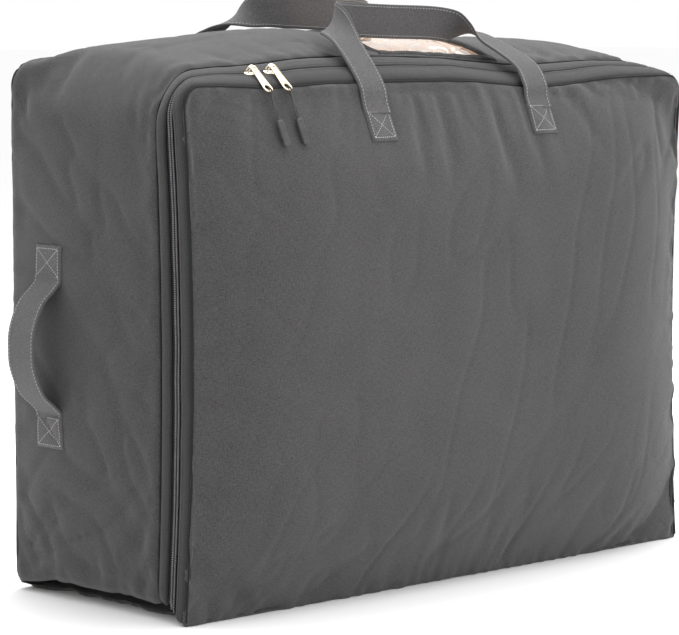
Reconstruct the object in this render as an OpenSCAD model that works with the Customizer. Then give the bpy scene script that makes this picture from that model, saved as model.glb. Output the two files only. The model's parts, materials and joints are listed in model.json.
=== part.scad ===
// Zip-open canvas storage bag, standing on one long narrow edge.
// Frame: X = width, Y = depth (front at -Y), Z = up, origin at the centre of the base.
// The cloth runs round the bag as a U: up the left side, over the crowned top, down the right.
// A point of that U is (s, d): s = place along the U, d = distance back from the front edge.

/* [Node] */
// Which sub-part to show

/* [Bag] */
// Width of the bag, left to right
bag_w = 690; // [400:1:900]
// Depth of the bag, front to back
bag_d = 255; // [150:1:400]
// Height of the front edge of the top
bag_h = 496; // [300:1:650]
// How much higher the back edge of the top stands than the front edge
back_rise = 22; // [0:1:40]
// Height of the soft crown above the straight top
crown = 36; // [0:1:60]
// How far the stuffed front panel swells forward
front_bulge = 36; // [0:1:50]
// How far the stuffed sides belly out at mid height
belly = 10; // [0:1:20]
// Radius of the two top corners
corner_r = 22; // [10:1:60]
// Thickness of the canvas
canvas_t = 2.4; // [1:0.1:4]
// Thickness of the thin inner lining
lining_t = 0.8; // [0.4:0.1:1.5]

/* [Zip] */
// Width of the whole zip band, seam to seam
band_w = 42; // [30:1:60]
// Width of each cloth strip that edges the zip
strip_w = 14; // [8:0.5:18]
// Width of a zip tape beyond its coil
tape_w = 9; // [6:0.5:12]
// Thickness of the zip tape
tape_t = 0.8; // [0.4:0.1:1.5]
// Size of one row of the coil
coil_w = 2.2; // [1.5:0.1:3]
// Clear gap between the two rows of coil
coil_gap = 2.6; // [2:0.1:4]

/* [Window] */
// Middle of the window, right of the bag's middle
window_x = 29; // [-60:1:60]
// Width of the clear window in the top
window_w = 150; // [60:1:250]
// Depth of the clear window
window_d = 112; // [60:1:160]
// Distance of the window's front edge behind the zip band
window_set = 14; // [8:1:40]
// Width of the stitched binding round the window
window_bind = 10; // [6:1:15]

/* [Handles] */
// Middle of the top handles, right of the bag's middle
handle_x = 0; // [-60:1:60]
// Spacing of the two legs of each top handle
handle_span = 226; // [150:1:320]
// Width of the top handles' webbing
strap_w = 34; // [20:1:50]
// Thickness of the webbing
strap_t = 2.6; // [1.5:0.1:5]
// Height of each sewn handle end
end_h = 33; // [25:1:60]
// Distance of a top handle's sewn ends below the top edge
end_drop = 23; // [10:1:80]
// Width of the side handles' webbing
side_w = 40; // [25:1:50]
// Distance of the side handles behind the front edge
side_d = 188; // [100:1:210]
// Middle height of the side handles
side_z = 248; // [150:1:350]
// Length of a side handle over its sewn ends
side_len = 196; // [140:1:260]
// How far a side handle stands off the bag
side_bow = 34; // [20:1:45]

/* [Zip pulls] */
// Place of the left slider, from the bag's left edge
left_slider_x = 100; // [60:1:150]
// Place of the right slider, from the bag's left edge
right_slider_x = 124; // [90:1:220]
// Length of a metal pull tab
tab_l = 34; // [20:1:45]
// Width of a pull tab at its hole
tab_w = 11; // [6:0.5:14]
// Thickness of a pull tab
tab_t = 1.8; // [1:0.1:3]
// Angle of a resting pull tab below level
tab_tilt = 43; // [0:1:80]
// Length of the cord loop between tab and grip
cord_l = 28; // [10:1:40]
// Diameter of the cord
cord_dia = 1.8; // [1:0.1:3]
// Length of a rubber grip
grip_l = 26; // [15:1:40]
// Width of a rubber grip
grip_w = 8; // [5:0.5:12]
// Thickness of a rubber grip
grip_t = 4; // [2:0.5:6]
// Sideways lean of the hanging cords and grips
pull_lean = 8; // [0:1:20]
// Forward lean of the cords and grips, which rest on the swollen panel
pull_out = 18; // [0:1:30]

/* [Hidden] */
half_w = bag_w / 2;
front_y = -bag_d / 2;
back_y = bag_d / 2;
eps = 0.01;
zip_d = band_w / 2;
lid_coil_d = zip_d - coil_gap / 2 - coil_w;
rear_coil_d = zip_d + coil_gap / 2;
coil_out = -1;
coil_in = coil_out - coil_w;
film_t = 0.5;
win_x0 = window_x - window_w / 2;
win_x1 = window_x + window_w / 2;
win_d0 = band_w + window_set;
win_d1 = win_d0 + window_d;
win_bind = window_bind;
win_hem = window_bind * 0.6;
seam_w = 7;
tape_gap = 0.4;
strip_t = 2;
inner_z = 8;
leg_x = [handle_x - handle_span / 2, handle_x + handle_span / 2];
end_top = bag_h - end_drop;
back_end_top = bag_h + back_rise - end_drop;
lining_gap = 2.6;
handle_off = 0.4 + strap_t / 2;
leg_gap = 4;
swell_in = 60;
front_z0 = 5.2;

canvas_c = [0.37, 0.36, 0.37];
seam_c = [0.22, 0.21, 0.22];
zip_c = [0.26, 0.25, 0.26];
webbing_c = [0.52, 0.51, 0.52];
thread_c = [0.30, 0.29, 0.30];
lining_c = [0.74, 0.63, 0.54];
film_c = [0.85, 0.88, 0.90, 0.35];
metal_c = [0.88, 0.80, 0.66];
rubber_c = [0.20, 0.20, 0.21];

// ---- The cloth's surface --------------------------------------------------------------

function along(a, b, n) = [for (i = [0:n]) a + (b - a) * i / n];
function clamp1(v) = min(1, max(-1, v));
function across_curve(d) = pow(max(0, sin(180 * d / bag_d)), 0.8);
function edge_h(d) = bag_h + back_rise * d / bag_d;
function crown_at(x, d) = crown * across_curve(d) * (1 - pow(abs(clamp1(x / half_w)), 4));
function belly_at(z, d) = belly * across_curve(d) * sin(180 * min(1, max(0, z / bag_h)));
function top_z(x, d) = edge_h(d) + crown_at(x, d);
// How far the front panel stands forward of its seams: it rises over swell_in from each edge
function swell(t) = 1 - exp(-pow(max(0, t) / swell_in, 1.5));
function front_out(x, z) =
    front_bulge * swell(bag_h - z) * swell(z - front_z0) * swell(half_w - abs(x));

// One place on the U: kind 0 = left side, 1 = left corner, 2 = top, 3 = right corner, 4 = right
function u_point(st, d) =
    let (k = st[0], v = st[1], h = edge_h(d), r = corner_r)
    k == 0 ? [-half_w - belly_at(v, d), h * v / bag_h - r * v / bag_h] :
    k == 1 ? [-half_w + r - r * cos(v), h - r + r * sin(v)] :
    k == 2 ? [v, top_z(v, d)] :
    k == 3 ? [half_w - r + r * sin(v), h - r + r * cos(v)] :
    [half_w + belly_at(v, d), h * v / bag_h - r * v / bag_h];
function u_normal(st) =
    st[0] == 0 ? [-1, 0] :
    st[0] == 1 ? [-cos(st[1]), sin(st[1])] :
    st[0] == 2 ? [0, 1] :
    st[0] == 3 ? [sin(st[1]), cos(st[1])] : [1, 0];
// The point that lies off = o outside the surface
function cloth(st, d, o) =
    let (p = u_point(st, d), n = u_normal(st))
    [p[0] + n[0] * o, front_y + d, p[1] + n[1] * o];

// Heights of the stations up each side: the floor, where the inner layers start, and on up
side_zs = concat([0, inner_z], [for (i = [1:9]) bag_h * i / 9]);
function no_repeats(v) = [for (i = [0:len(v) - 1]) if (i == 0 || v[i] != v[i - 1]) v[i]];
top_xs = no_repeats(concat(
    along(-half_w + corner_r, win_x0 - win_bind, 8), [win_x0 - win_hem], along(win_x0, win_x1, 5),
    [win_x1 + win_hem], along(win_x1 + win_bind, half_w - corner_r, 7)));
function whole_u(z0) = concat(
    [for (z = side_zs) if (z >= z0) [0, z]],
    [for (a = [22.5:22.5:67.5]) [1, a]],
    [for (x = top_xs) [2, x]],
    [for (a = [22.5:22.5:67.5]) [3, a]],
    [for (i = [len(side_zs) - 1:-1:0]) if (side_zs[i] >= z0) [4, side_zs[i]]]);

// A closed sheet over stations x depths, from offset o0 out to o1, with cells left out where
// the station is between cut[0] and cut[1] along the top and the depth between cut[2] and cut[3]
module cloth_sheet(sts, ds, o0, o1, cut = [1, 0, 1, 0]) {
    ns = len(sts);
    nd = len(ds);
    function id(i, j, top) = (i * nd + j) * 2 + top;
    function in_cut(i, j) =
        sts[i][0] == 2 && sts[i + 1][0] == 2
        && (sts[i][1] + sts[i + 1][1]) / 2 > cut[0] && (sts[i][1] + sts[i + 1][1]) / 2 < cut[1]
        && (ds[j] + ds[j + 1]) / 2 > cut[2] && (ds[j] + ds[j + 1]) / 2 < cut[3];
    function live(i, j) = i >= 0 && j >= 0 && i < ns - 1 && j < nd - 1 && !in_cut(i, j);
    points = [for (i = [0:ns - 1]) for (j = [0:nd - 1]) for (t = [0:1])
        cloth(sts[i], ds[j], t == 0 ? o0 : o1)];
    faces = [for (i = [0:ns - 2]) for (j = [0:nd - 2]) if (live(i, j))
        for (f = concat(
            [[id(i, j, 1), id(i, j + 1, 1), id(i + 1, j + 1, 1)],
             [id(i, j, 1), id(i + 1, j + 1, 1), id(i + 1, j, 1)],
             [id(i, j, 0), id(i + 1, j + 1, 0), id(i, j + 1, 0)],
             [id(i, j, 0), id(i + 1, j, 0), id(i + 1, j + 1, 0)]],
            live(i - 1, j) ? [] : [
                [id(i, j, 0), id(i, j + 1, 0), id(i, j + 1, 1)],
                [id(i, j, 0), id(i, j + 1, 1), id(i, j, 1)]],
            live(i + 1, j) ? [] : [
                [id(i + 1, j, 0), id(i + 1, j + 1, 1), id(i + 1, j + 1, 0)],
                [id(i + 1, j, 0), id(i + 1, j, 1), id(i + 1, j + 1, 1)]],
            live(i, j - 1) ? [] : [
                [id(i, j, 0), id(i + 1, j, 1), id(i + 1, j, 0)],
                [id(i, j, 0), id(i, j, 1), id(i + 1, j, 1)]],
            live(i, j + 1) ? [] : [
                [id(i, j + 1, 0), id(i + 1, j + 1, 0), id(i + 1, j + 1, 1)],
                [id(i, j + 1, 0), id(i + 1, j + 1, 1), id(i, j + 1, 1)]])) f];
    polyhedron(points = points, faces = [for (f = faces) [f[0], f[2], f[1]]]);
}

u_full = whole_u(0);
u_inner = whole_u(inner_z);
window_ds = concat([win_d0 - win_bind, win_d0 - win_hem], along(win_d0, win_d1, 4),
    [win_d1 + win_hem, win_d1 + win_bind]);
binding_d = bag_d - canvas_t - seam_w;
lining_ds = concat([band_w], window_ds, [win_d1 + 34, win_d1 + 56, binding_d]);
gusset_ds = concat(lining_ds, [bag_d - canvas_t]);
window_xs = [for (x = top_xs) if (x > win_x0 - win_bind - 0.1 && x < win_x1 + win_bind + 0.1) x];

// ---- Straps ---------------------------------------------------------------------------

function unit(v) = v / norm(v);
function spline(p, i, t) =
    let (a = p[max(0, i - 1)], b = p[i], c = p[i + 1], e = p[min(len(p) - 1, i + 2)])
    0.5 * (2 * b + (c - a) * t + (2 * a - 5 * b + 4 * c - e) * t * t
        + (3 * b - a - 3 * c + e) * t * t * t);
function smooth(p, n) = concat(
    [for (i = [0:len(p) - 2]) for (k = [0:n - 1]) spline(p, i, k / n)], [p[len(p) - 1]]);

// A flat strap of width w and thickness t along the path, with the width direction of each point
module strap(path, wide, w, t) {
    n = len(path);
    points = [for (i = [0:n - 1])
        let (
            tangent = unit(path[min(n - 1, i + 1)] - path[max(0, i - 1)]),
            side = unit(wide[i] - tangent * (wide[i] * tangent)),
            up = cross(tangent, side)
        )
        for (c = [[-1, -1], [1, -1], [1, 1], [-1, 1]])
            path[i] + side * c[0] * w / 2 + up * c[1] * t / 2];
    faces = concat(
        [[0, 2, 1], [0, 3, 2]],
        [for (i = [0:n - 2]) for (k = [0:3])
            let (a = 4 * i + k, b = 4 * i + (k + 1) % 4)
            for (f = [[a, b, b + 4], [a, b + 4, a + 4]]) f],
        [[4 * n - 4, 4 * n - 3, 4 * n - 2], [4 * n - 4, 4 * n - 2, 4 * n - 1]]);
    polyhedron(points = points, faces = [for (f = faces) [f[0], f[2], f[1]]]);
}

// Box-and-cross stitching on a sewn end of size w x h, flat in XZ with its face toward -Y
module box_cross(w, h) {
    inset = 3.5;
    thread = 0.9;
    bw = w - 2 * inset;
    bh = h - 2 * inset;
    for (s = [-1, 1]) {
        translate([s * bw / 2, 0, 0]) cube([thread, thread, bh + thread], center = true);
        translate([0, 0, s * bh / 2]) cube([bw + thread, thread, thread], center = true);
        rotate([0, s * atan2(bh, bw), 0]) cube([norm([bw, bh]), thread, thread], center = true);
    }
}

// The frame of a sewn end on the left side: local -Y looks outward and Z runs up the bag
module on_left_side(z, d) {
    dz = 4;
    p = cloth([0, z], d, 0);
    up = unit(cloth([0, z + dz], d, 0) - cloth([0, z - dz], d, 0));
    back = unit(cloth([0, z], d + dz, 0) - cloth([0, z], d - dz, 0));
    out = unit(cross(up, back));
    across = cross(out, up);
    multmatrix([
        [across[0], -out[0], up[0], p[0]],
        [across[1], -out[1], up[1], p[1]],
        [across[2], -out[2], up[2], p[2]],
        [0, 0, 0, 1]]) children();
}

// Side handle ends sit this far above and below the handle's middle, in U heights
side_end = (side_len - end_h) / 2;
function side_u(z) = z * bag_h / (edge_h(side_d) - corner_r);

// ---- Fixed body -----------------------------------------------------------------------

// A flat panel in XZ of height h with rounded top corners, from y0 to y1
module upright_panel(h, inset, z0, y0, y1) {
    r = corner_r - inset;
    w = bag_w - 2 * inset;
    translate([0, y1, 0]) rotate([90, 0, 0]) linear_extrude(height = y1 - y0) union() {
        translate([-w / 2, z0]) square([w, h - inset - r - z0]);
        translate([-w / 2 + r, h - inset - r - eps]) square([w - 2 * r, r + eps]);
        for (s = [-1, 1]) translate([s * (w / 2 - r), h - inset - r]) circle(r = r, $fn = 64);
    }
}

module back_panel() {
    color(canvas_c) upright_panel(bag_h + back_rise, 0, 0, back_y - canvas_t, back_y);
}

module bottom_panel() {
    color(canvas_c) translate([-half_w + canvas_t + 0.05, front_y + 6, 0])
        cube([bag_w - 2 * canvas_t - 0.1, bag_d - 6 - canvas_t, canvas_t]);
}

module side_gusset() {
    color(canvas_c) cloth_sheet(u_full, gusset_ds, -canvas_t, 0,
        [win_x0, win_x1, win_d0, win_d1]);
}

module rear_zip_strip() {
    color(canvas_c) cloth_sheet(u_full, [band_w - strip_w, band_w], -strip_t, 0);
}

module rear_zip_tape() {
    color(zip_c) cloth_sheet(u_inner, [rear_coil_d + coil_w, rear_coil_d + tape_w],
        -strip_t - tape_gap - tape_t, -strip_t - tape_gap);
}

module rear_zip_coil() {
    color(zip_c) cloth_sheet(u_inner, [rear_coil_d, rear_coil_d + coil_w], coil_in, coil_out);
}

module window_film() {
    color(film_c) cloth_sheet(
        [for (x = window_xs) if (x > win_x0 - win_bind + 0.1 && x < win_x1 + win_bind - 0.1) [2, x]],
        [for (d = window_ds) if (d > win_d0 - win_bind + 0.1 && d < win_d1 + win_bind - 0.1) d],
        -canvas_t - film_t, -canvas_t);
}

module window_binding() {
    color(seam_c) cloth_sheet([for (x = window_xs) [2, x]], window_ds, 0, 1.2,
        [win_x0, win_x1, win_d0, win_d1]);
}

module back_seam_binding() {
    color(seam_c) cloth_sheet(u_inner, [binding_d, bag_d - canvas_t],
        -canvas_t - 2.2, -canvas_t);
}

module gusset_lining() {
    color(lining_c) cloth_sheet(u_inner, lining_ds, -canvas_t - lining_t, -canvas_t,
        [win_x0 - win_bind, win_x1 + win_bind, win_d0 - win_bind, win_d1 + win_bind]);
}

module back_lining() {
    inset = canvas_t + 4;
    color(lining_c) upright_panel(bag_h + back_rise, inset, canvas_t + 0.1,
        back_y - canvas_t - lining_t, back_y - canvas_t);
}

// The folded cloth along the bottom front edge that the lid turns on
module hinge_fold() {
    color(seam_c) translate([-half_w + canvas_t + 0.1, front_y + 3.2, 2.4])
        rotate([0, 90, 0]) cylinder(r = 1.8, h = bag_w - 2 * canvas_t - 0.2, $fn = 32);
    color(seam_c) translate([-half_w + canvas_t + 0.1, front_y + 3.2, 0.6])
        cube([bag_w - 2 * canvas_t - 0.2, 2.8, 1.6]);
}

// ---- Lid ------------------------------------------------------------------------------

// A sheet with the swollen form of the front panel, from o to o + t behind its outer face
module front_sheet(inset, z0, o, t) {
    r = corner_r - inset;
    w = half_w - inset;
    h_side = bag_h - inset - r;
    zs = concat([for (i = [0:14]) z0 + (h_side - z0) * (0.5 - 0.5 * cos(180 * i / 14))],
        [for (a = [22.5:22.5:90]) h_side + r * sin(a)]);
    shares = [for (k = [-9:9]) sin(10 * k)];
    function half_at(z) = z <= h_side ? w : w - r + sqrt(max(0, r * r - pow(z - h_side, 2)));
    nz = len(zs);
    nx = len(shares);
    function id(i, j, b) = (i * nz + j) * 2 + b;
    points = [for (i = [0:nx - 1]) for (j = [0:nz - 1]) for (b = [0:1])
        let (x = shares[i] * half_at(zs[j]))
        [x, front_y + o + b * t - front_out(x, zs[j]), zs[j]]];
    faces = concat(
        [for (i = [0:nx - 2]) for (j = [0:nz - 2]) for (f = [
            [id(i, j, 0), id(i, j + 1, 0), id(i + 1, j + 1, 0)],
            [id(i, j, 0), id(i + 1, j + 1, 0), id(i + 1, j, 0)],
            [id(i, j, 1), id(i + 1, j + 1, 1), id(i, j + 1, 1)],
            [id(i, j, 1), id(i + 1, j, 1), id(i + 1, j + 1, 1)]]) f],
        [for (j = [0:nz - 2]) for (f = [
            [id(0, j, 0), id(0, j, 1), id(0, j + 1, 1)],
            [id(0, j, 0), id(0, j + 1, 1), id(0, j + 1, 0)],
            [id(nx - 1, j, 0), id(nx - 1, j + 1, 1), id(nx - 1, j, 1)],
            [id(nx - 1, j, 0), id(nx - 1, j + 1, 0), id(nx - 1, j + 1, 1)]]) f],
        [for (i = [0:nx - 2]) for (f = [
            [id(i, 0, 0), id(i + 1, 0, 1), id(i, 0, 1)],
            [id(i, 0, 0), id(i + 1, 0, 0), id(i + 1, 0, 1)],
            [id(i, nz - 1, 0), id(i, nz - 1, 1), id(i + 1, nz - 1, 1)],
            [id(i, nz - 1, 0), id(i + 1, nz - 1, 1), id(i + 1, nz - 1, 0)]]) f]);
    polyhedron(points = points, faces = faces);
}

module front_panel() {
    color(canvas_c) front_sheet(0, front_z0, 0, canvas_t);
}

module front_zip_strip() {
    color(canvas_c) cloth_sheet(u_inner, [canvas_t, canvas_t + seam_w, strip_w], -strip_t, 0);
}

module front_zip_tape() {
    color(zip_c) cloth_sheet(u_inner, [lid_coil_d + coil_w - tape_w, lid_coil_d],
        -strip_t - tape_gap - tape_t, -strip_t - tape_gap);
}

module front_zip_coil() {
    color(zip_c) cloth_sheet(u_inner, [lid_coil_d, lid_coil_d + coil_w], coil_in, coil_out);
}

module front_seam_binding() {
    color(seam_c) cloth_sheet(u_inner, [canvas_t, canvas_t + seam_w], -strip_t - 3, -strip_t);
}

module front_lining() {
    color(lining_c) front_sheet(canvas_t + 4, 10, canvas_t + lining_gap, lining_t);
}

// ---- Top handles ----------------------------------------------------------------------

// Slope of the swollen panel under a front handle's sewn ends, and the place of their top edge
end_rise = end_h * 0.9;
end_y = front_y - front_out(leg_x[1], end_top) - 0.8;
end_lean = atan2(front_out(leg_x[1], end_top - end_rise) - front_out(leg_x[1], end_top), end_rise);

// The path of a top handle, s = -1 at the front and 1 at the back: up from its sewn ends at y0,
// over the top edge, then in to a slack arch that stands on its own edge
function top_path(s, y0, z_end, lift) =
    let (
        l = leg_x[0],
        r = leg_x[1],
        top = bag_h + crown + lift,
        brow = z_end + end_drop + 18 + lift * 0.2
    )
    smooth([
        [l, y0, z_end + leg_gap], [l, s * 132.4, z_end + 20],
        [l, s * 118.5, brow], [l + 1, s * 95, top + 6 + lift * 0.4], [l + 8, s * 72, top + 21],
        [l + 24, s * 54, top + 27], [l + 50, s * 48, top + 26], [l + 100, s * 50, top + 24],
        [r - 66, s * 56, top + 22], [r - 36, s * 64, top + 16], [r - 14, s * 80, top + 5 + lift * 0.2],
        [r, s * 117, brow], [r, s * 132.4, z_end + 20], [r, y0, z_end + leg_gap]], 3);
function top_wide(s) = smooth([
    [1, 0, 0], [1, 0, 0], [1, 0, 0.02], [0.97, 0, 0.15], [0.75, 0, 0.6], [0.25, 0, 1],
    [0, 0, 1], [0, 0, 1], [-0.3, 0, 1], [-0.85, 0, 0.45], [-1, 0, 0.12],
    [-1, 0, 0], [-1, 0, 0], [-1, 0, 0]], 3);

module front_handle() {
    color(webbing_c) strap(top_path(-1, end_y - strap_t / 2, end_top, 0), top_wide(1),
        strap_w, strap_t);
}

module back_handle() {
    color(webbing_c) strap(top_path(1, back_y + handle_off, back_end_top, 8), top_wide(-1),
        strap_w, strap_t);
}

module on_front_end(x) {
    translate([x, end_y, end_top]) rotate([-end_lean, 0, 0]) children();
}

module front_handle_ends() {
    color(webbing_c) for (x = leg_x) on_front_end(x)
        translate([-strap_w / 2, -strap_t, -end_h]) cube([strap_w, strap_t, end_h]);
}

module front_handle_stitching() {
    color(thread_c) for (x = leg_x) on_front_end(x)
        translate([0, -strap_t - 0.45, -end_h / 2]) box_cross(strap_w, end_h);
}

module top_ends(y, z) {
    for (x = leg_x) translate([x - strap_w / 2, y, z - end_h]) cube([strap_w, strap_t, end_h]);
}

module back_handle_ends() {
    color(webbing_c) top_ends(back_y, back_end_top);
}

module back_handle_stitching() {
    color(thread_c) for (x = leg_x)
        translate([x, back_y + strap_t + 0.45, back_end_top - end_h / 2])
            box_cross(strap_w, end_h);
}

// ---- Side handles ---------------------------------------------------------------------

module left_side_ends() {
    for (s = [-1, 1]) on_left_side(side_u(side_z + s * side_end), side_d)
        translate([-side_w / 2, -strap_t - 0.05, -end_h / 2]) cube([side_w, strap_t, end_h]);
}

module left_side_stitching() {
    for (s = [-1, 1]) on_left_side(side_u(side_z + s * side_end), side_d)
        translate([0, -strap_t - 0.5, 0]) box_cross(side_w, end_h);
}

module left_side_loop() {
    x0 = cloth([0, side_u(side_z + side_end)], side_d, 0)[0];
    half = side_len / 2 - end_h - 1.4;
    y = front_y + side_d;
    path = smooth([
        [x0 - 8, y, side_z + half], [x0 - 16, y, side_z + half - 4],
        [x0 - side_bow * 0.78, y, side_z + half * 0.62],
        [x0 - side_bow, y, side_z + half * 0.2], [x0 - side_bow, y, side_z - half * 0.2],
        [x0 - side_bow * 0.78, y, side_z - half * 0.62],
        [x0 - 16, y, side_z - half + 4], [x0 - 8, y, side_z - half]], 3);
    strap(path, [for (p = path) [0, 1, 0]], side_w, strap_t);
}

module left_handle_ends() {
    color(webbing_c) left_side_ends();
}

module left_handle_stitching() {
    color(thread_c) left_side_stitching();
}

module left_handle() {
    color(webbing_c) left_side_loop();
}

module right_handle_ends() {
    color(webbing_c) mirror([1, 0, 0]) left_side_ends();
}

module right_handle_stitching() {
    color(thread_c) mirror([1, 0, 0]) left_side_stitching();
}

module right_handle() {
    color(webbing_c) mirror([1, 0, 0]) left_side_loop();
}

// ---- Zip sliders and pulls ------------------------------------------------------------

slider_l = 14;
slider_w = 9;
slider_t = 1.2;
pivot_up = 9;
hole_r = 3.2;
function band_slope(x) = atan2(top_z(x, zip_d + 2) - top_z(x, zip_d - 2), 4);

// Local frame of a slider: X along the zip, Y across it, Z out of the cloth
module on_zip(x) {
    translate([x, front_y + zip_d, top_z(x, zip_d)]) rotate([band_slope(x), 0, 0]) children();
}

module slider_at(x, dir) {
    on_zip(x) {
        translate([-slider_l / 2, -slider_w / 2, 0.8]) cube([slider_l, slider_w, slider_t]);
        translate([-slider_l / 2, -slider_w / 2, -8.2]) cube([slider_l, slider_w, slider_t]);
        for (s = [-1, 1]) translate([s * 3.6 - 0.7, -2.2, 1.9]) cube([1.4, 4.4, pivot_up - 0.8]);
    }
    // The wedge that parts the two rows of coil stands upright between them
    translate([x + dir * (slider_l / 2 - 2.2), front_y + zip_d, top_z(x, zip_d) - 2.9])
        cube([2.6, 1.2, 8.4], center = true);
}

function pivot_y(x) = front_y + zip_d - sin(band_slope(x)) * pivot_up;
function pivot_z(x) = top_z(x, zip_d) + cos(band_slope(x)) * pivot_up;

// Local frame of a resting tab: origin at its pivot, -Y toward the hole
module on_tab(x) {
    translate([x, pivot_y(x), pivot_z(x)]) rotate([tab_tilt, 0, 0]) children();
}

module tab_at(x) {
    hole = tab_l - tab_w / 2;
    on_tab(x) difference() {
        translate([0, 0, -tab_t / 2]) union() {
            linear_extrude(height = tab_t) polygon([
                [-2, 1], [2, 1], [2.2, -4], [tab_w / 2, -hole], [-tab_w / 2, -hole], [-2.2, -4]]);
            translate([0, -hole, 0]) cylinder(r = tab_w / 2, h = tab_t, $fn = 48);
        }
        translate([0, -hole, -tab_t]) cylinder(r = hole_r, h = 2 * tab_t, $fn = 48);
    }
    on_tab(x) rotate([0, 90, 0]) cylinder(r = 1, h = 5.2, center = true, $fn = 24);
}

// The cord loop turns on the tab's lower rim, at the middle of the metal below the hole
rim_l = tab_l - (tab_w / 2 - hole_r) / 2;
function rim_y(x) = pivot_y(x) - rim_l * cos(tab_tilt);
function rim_z(x) = pivot_z(x) - rim_l * sin(tab_tilt);

// Local frame of a hanging cord: origin at the tab's rim, -Z downward
module on_rim(x) {
    translate([x, rim_y(x), rim_z(x)]) rotate([-pull_out, -pull_lean, 0]) children();
}

module cord_at(x) {
    r = cord_dia / 2;
    on_rim(x) {
        rotate([0, 90 + pull_lean, 0]) rotate_extrude($fn = 48) translate([2.8, 0])
            circle(r = r, $fn = 24);
        for (s = [-1, 1]) translate([0, s * 1.2, -cord_l]) cylinder(r = r, h = cord_l - 2.6, $fn = 24);
    }
}

module grip_at(x) {
    on_rim(x) translate([0, 0, -cord_l - grip_l / 2]) difference() {
        cube([grip_w, grip_t, grip_l], center = true);
        for (z = [-1:1], s = [-1, 1]) translate([0, s * grip_t / 2, z * grip_l / 4])
            cube([grip_w + 1, 0.8, 1.4], center = true);
    }
}

x_left = -half_w + left_slider_x;
x_right = -half_w + right_slider_x;

module left_slider() {
    color(metal_c) slider_at(x_left, -1);
}

module left_pull_tab() {
    color(metal_c) tab_at(x_left);
}

module left_pull_cord() {
    color(rubber_c) cord_at(x_left);
}

module left_pull_grip() {
    color(rubber_c) grip_at(x_left);
}

module right_slider() {
    color(metal_c) slider_at(x_right, 1);
}

module right_pull_tab() {
    color(metal_c) tab_at(x_right);
}

module right_pull_cord() {
    color(rubber_c) cord_at(x_right);
}

module right_pull_grip() {
    color(rubber_c) grip_at(x_right);
}

// ---- Assembly -------------------------------------------------------------------------

back_panel();
bottom_panel();
side_gusset();
rear_zip_strip();
rear_zip_tape();
rear_zip_coil();
window_film();
window_binding();
back_seam_binding();
gusset_lining();
back_lining();
hinge_fold();
front_panel();
front_zip_strip();
front_zip_tape();
front_zip_coil();
front_seam_binding();
front_lining();
front_handle_ends();
front_handle_stitching();
front_handle();
back_handle_ends();
back_handle_stitching();
back_handle();
left_handle_ends();
left_handle_stitching();
left_handle();
right_handle_ends();
right_handle_stitching();
right_handle();
left_slider();
left_pull_tab();
left_pull_cord();
left_pull_grip();
right_slider();
right_pull_tab();
right_pull_cord();
right_pull_grip();
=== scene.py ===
import json
import math

import bpy
import numpy as np
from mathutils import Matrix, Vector


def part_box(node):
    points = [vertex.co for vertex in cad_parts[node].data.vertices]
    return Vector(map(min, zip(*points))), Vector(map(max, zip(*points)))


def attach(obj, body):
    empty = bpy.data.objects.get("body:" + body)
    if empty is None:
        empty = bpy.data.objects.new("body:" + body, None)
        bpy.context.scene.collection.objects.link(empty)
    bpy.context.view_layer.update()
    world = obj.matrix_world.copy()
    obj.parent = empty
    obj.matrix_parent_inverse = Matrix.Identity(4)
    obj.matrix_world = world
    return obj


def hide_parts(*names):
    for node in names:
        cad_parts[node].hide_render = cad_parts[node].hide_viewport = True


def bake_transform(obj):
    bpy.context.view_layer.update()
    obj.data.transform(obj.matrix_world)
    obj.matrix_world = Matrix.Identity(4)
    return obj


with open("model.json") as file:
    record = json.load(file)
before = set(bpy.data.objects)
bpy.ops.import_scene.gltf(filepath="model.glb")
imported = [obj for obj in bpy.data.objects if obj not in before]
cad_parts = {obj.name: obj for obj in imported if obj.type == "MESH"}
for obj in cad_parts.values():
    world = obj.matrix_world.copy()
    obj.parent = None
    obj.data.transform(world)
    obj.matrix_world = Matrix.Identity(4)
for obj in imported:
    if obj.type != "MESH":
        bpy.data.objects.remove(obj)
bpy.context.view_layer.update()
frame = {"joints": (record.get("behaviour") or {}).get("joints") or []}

# ---- Sizes, read from the frame (metres) ----------------------------------------------

MM = 0.001
panel_lo, panel_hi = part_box("front_panel")
back_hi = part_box("back_panel")[1]
HALF_W = panel_hi[0]
BACK_Y = back_hi[1]
FRONT_Y = -BACK_Y
BULGE = FRONT_Y - panel_lo[1]
HEIGHT = panel_hi[2]
BACK_HEIGHT = back_hi[2]
DEPTH = BACK_Y - FRONT_Y
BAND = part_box("side_gusset")[0][1] - FRONT_Y
bind_lo, bind_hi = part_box("window_binding")
BIND = 10 * MM
WIN_X = (bind_lo[0] + BIND, bind_hi[0] - BIND)
WIN_D = (bind_lo[1] + BIND - FRONT_Y, bind_hi[1] - BIND - FRONT_Y)
CLOTH = 1.8 * MM
LINING = 0.6 * MM
JOINTS = {j["name"]: j for j in frame["joints"]}

rng = np.random.default_rng(11)


# ---- Camera, light and floor ----------------------------------------------------------

CAMERA_PLACE = (-2.064, -2.190, 0.570)
CAMERA_AZIMUTH, CAMERA_DOWN = math.radians(42.85), math.radians(6.0)
LENS_MM, SENSOR_MM = 156.4, 36.0
FLOOR_HALF = 30.0


def make_camera():
    data = bpy.data.cameras.new("camera")
    data.lens = LENS_MM
    data.sensor_width = SENSOR_MM
    camera = bpy.data.objects.new("camera", data)
    camera.location = CAMERA_PLACE
    look = Vector((math.sin(CAMERA_AZIMUTH) * math.cos(CAMERA_DOWN),
                   math.cos(CAMERA_AZIMUTH) * math.cos(CAMERA_DOWN), -math.sin(CAMERA_DOWN)))
    camera.rotation_euler = look.to_track_quat("-Z", "Y").to_euler()
    bpy.context.scene.collection.objects.link(camera)
    bpy.context.scene.camera = camera


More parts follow.
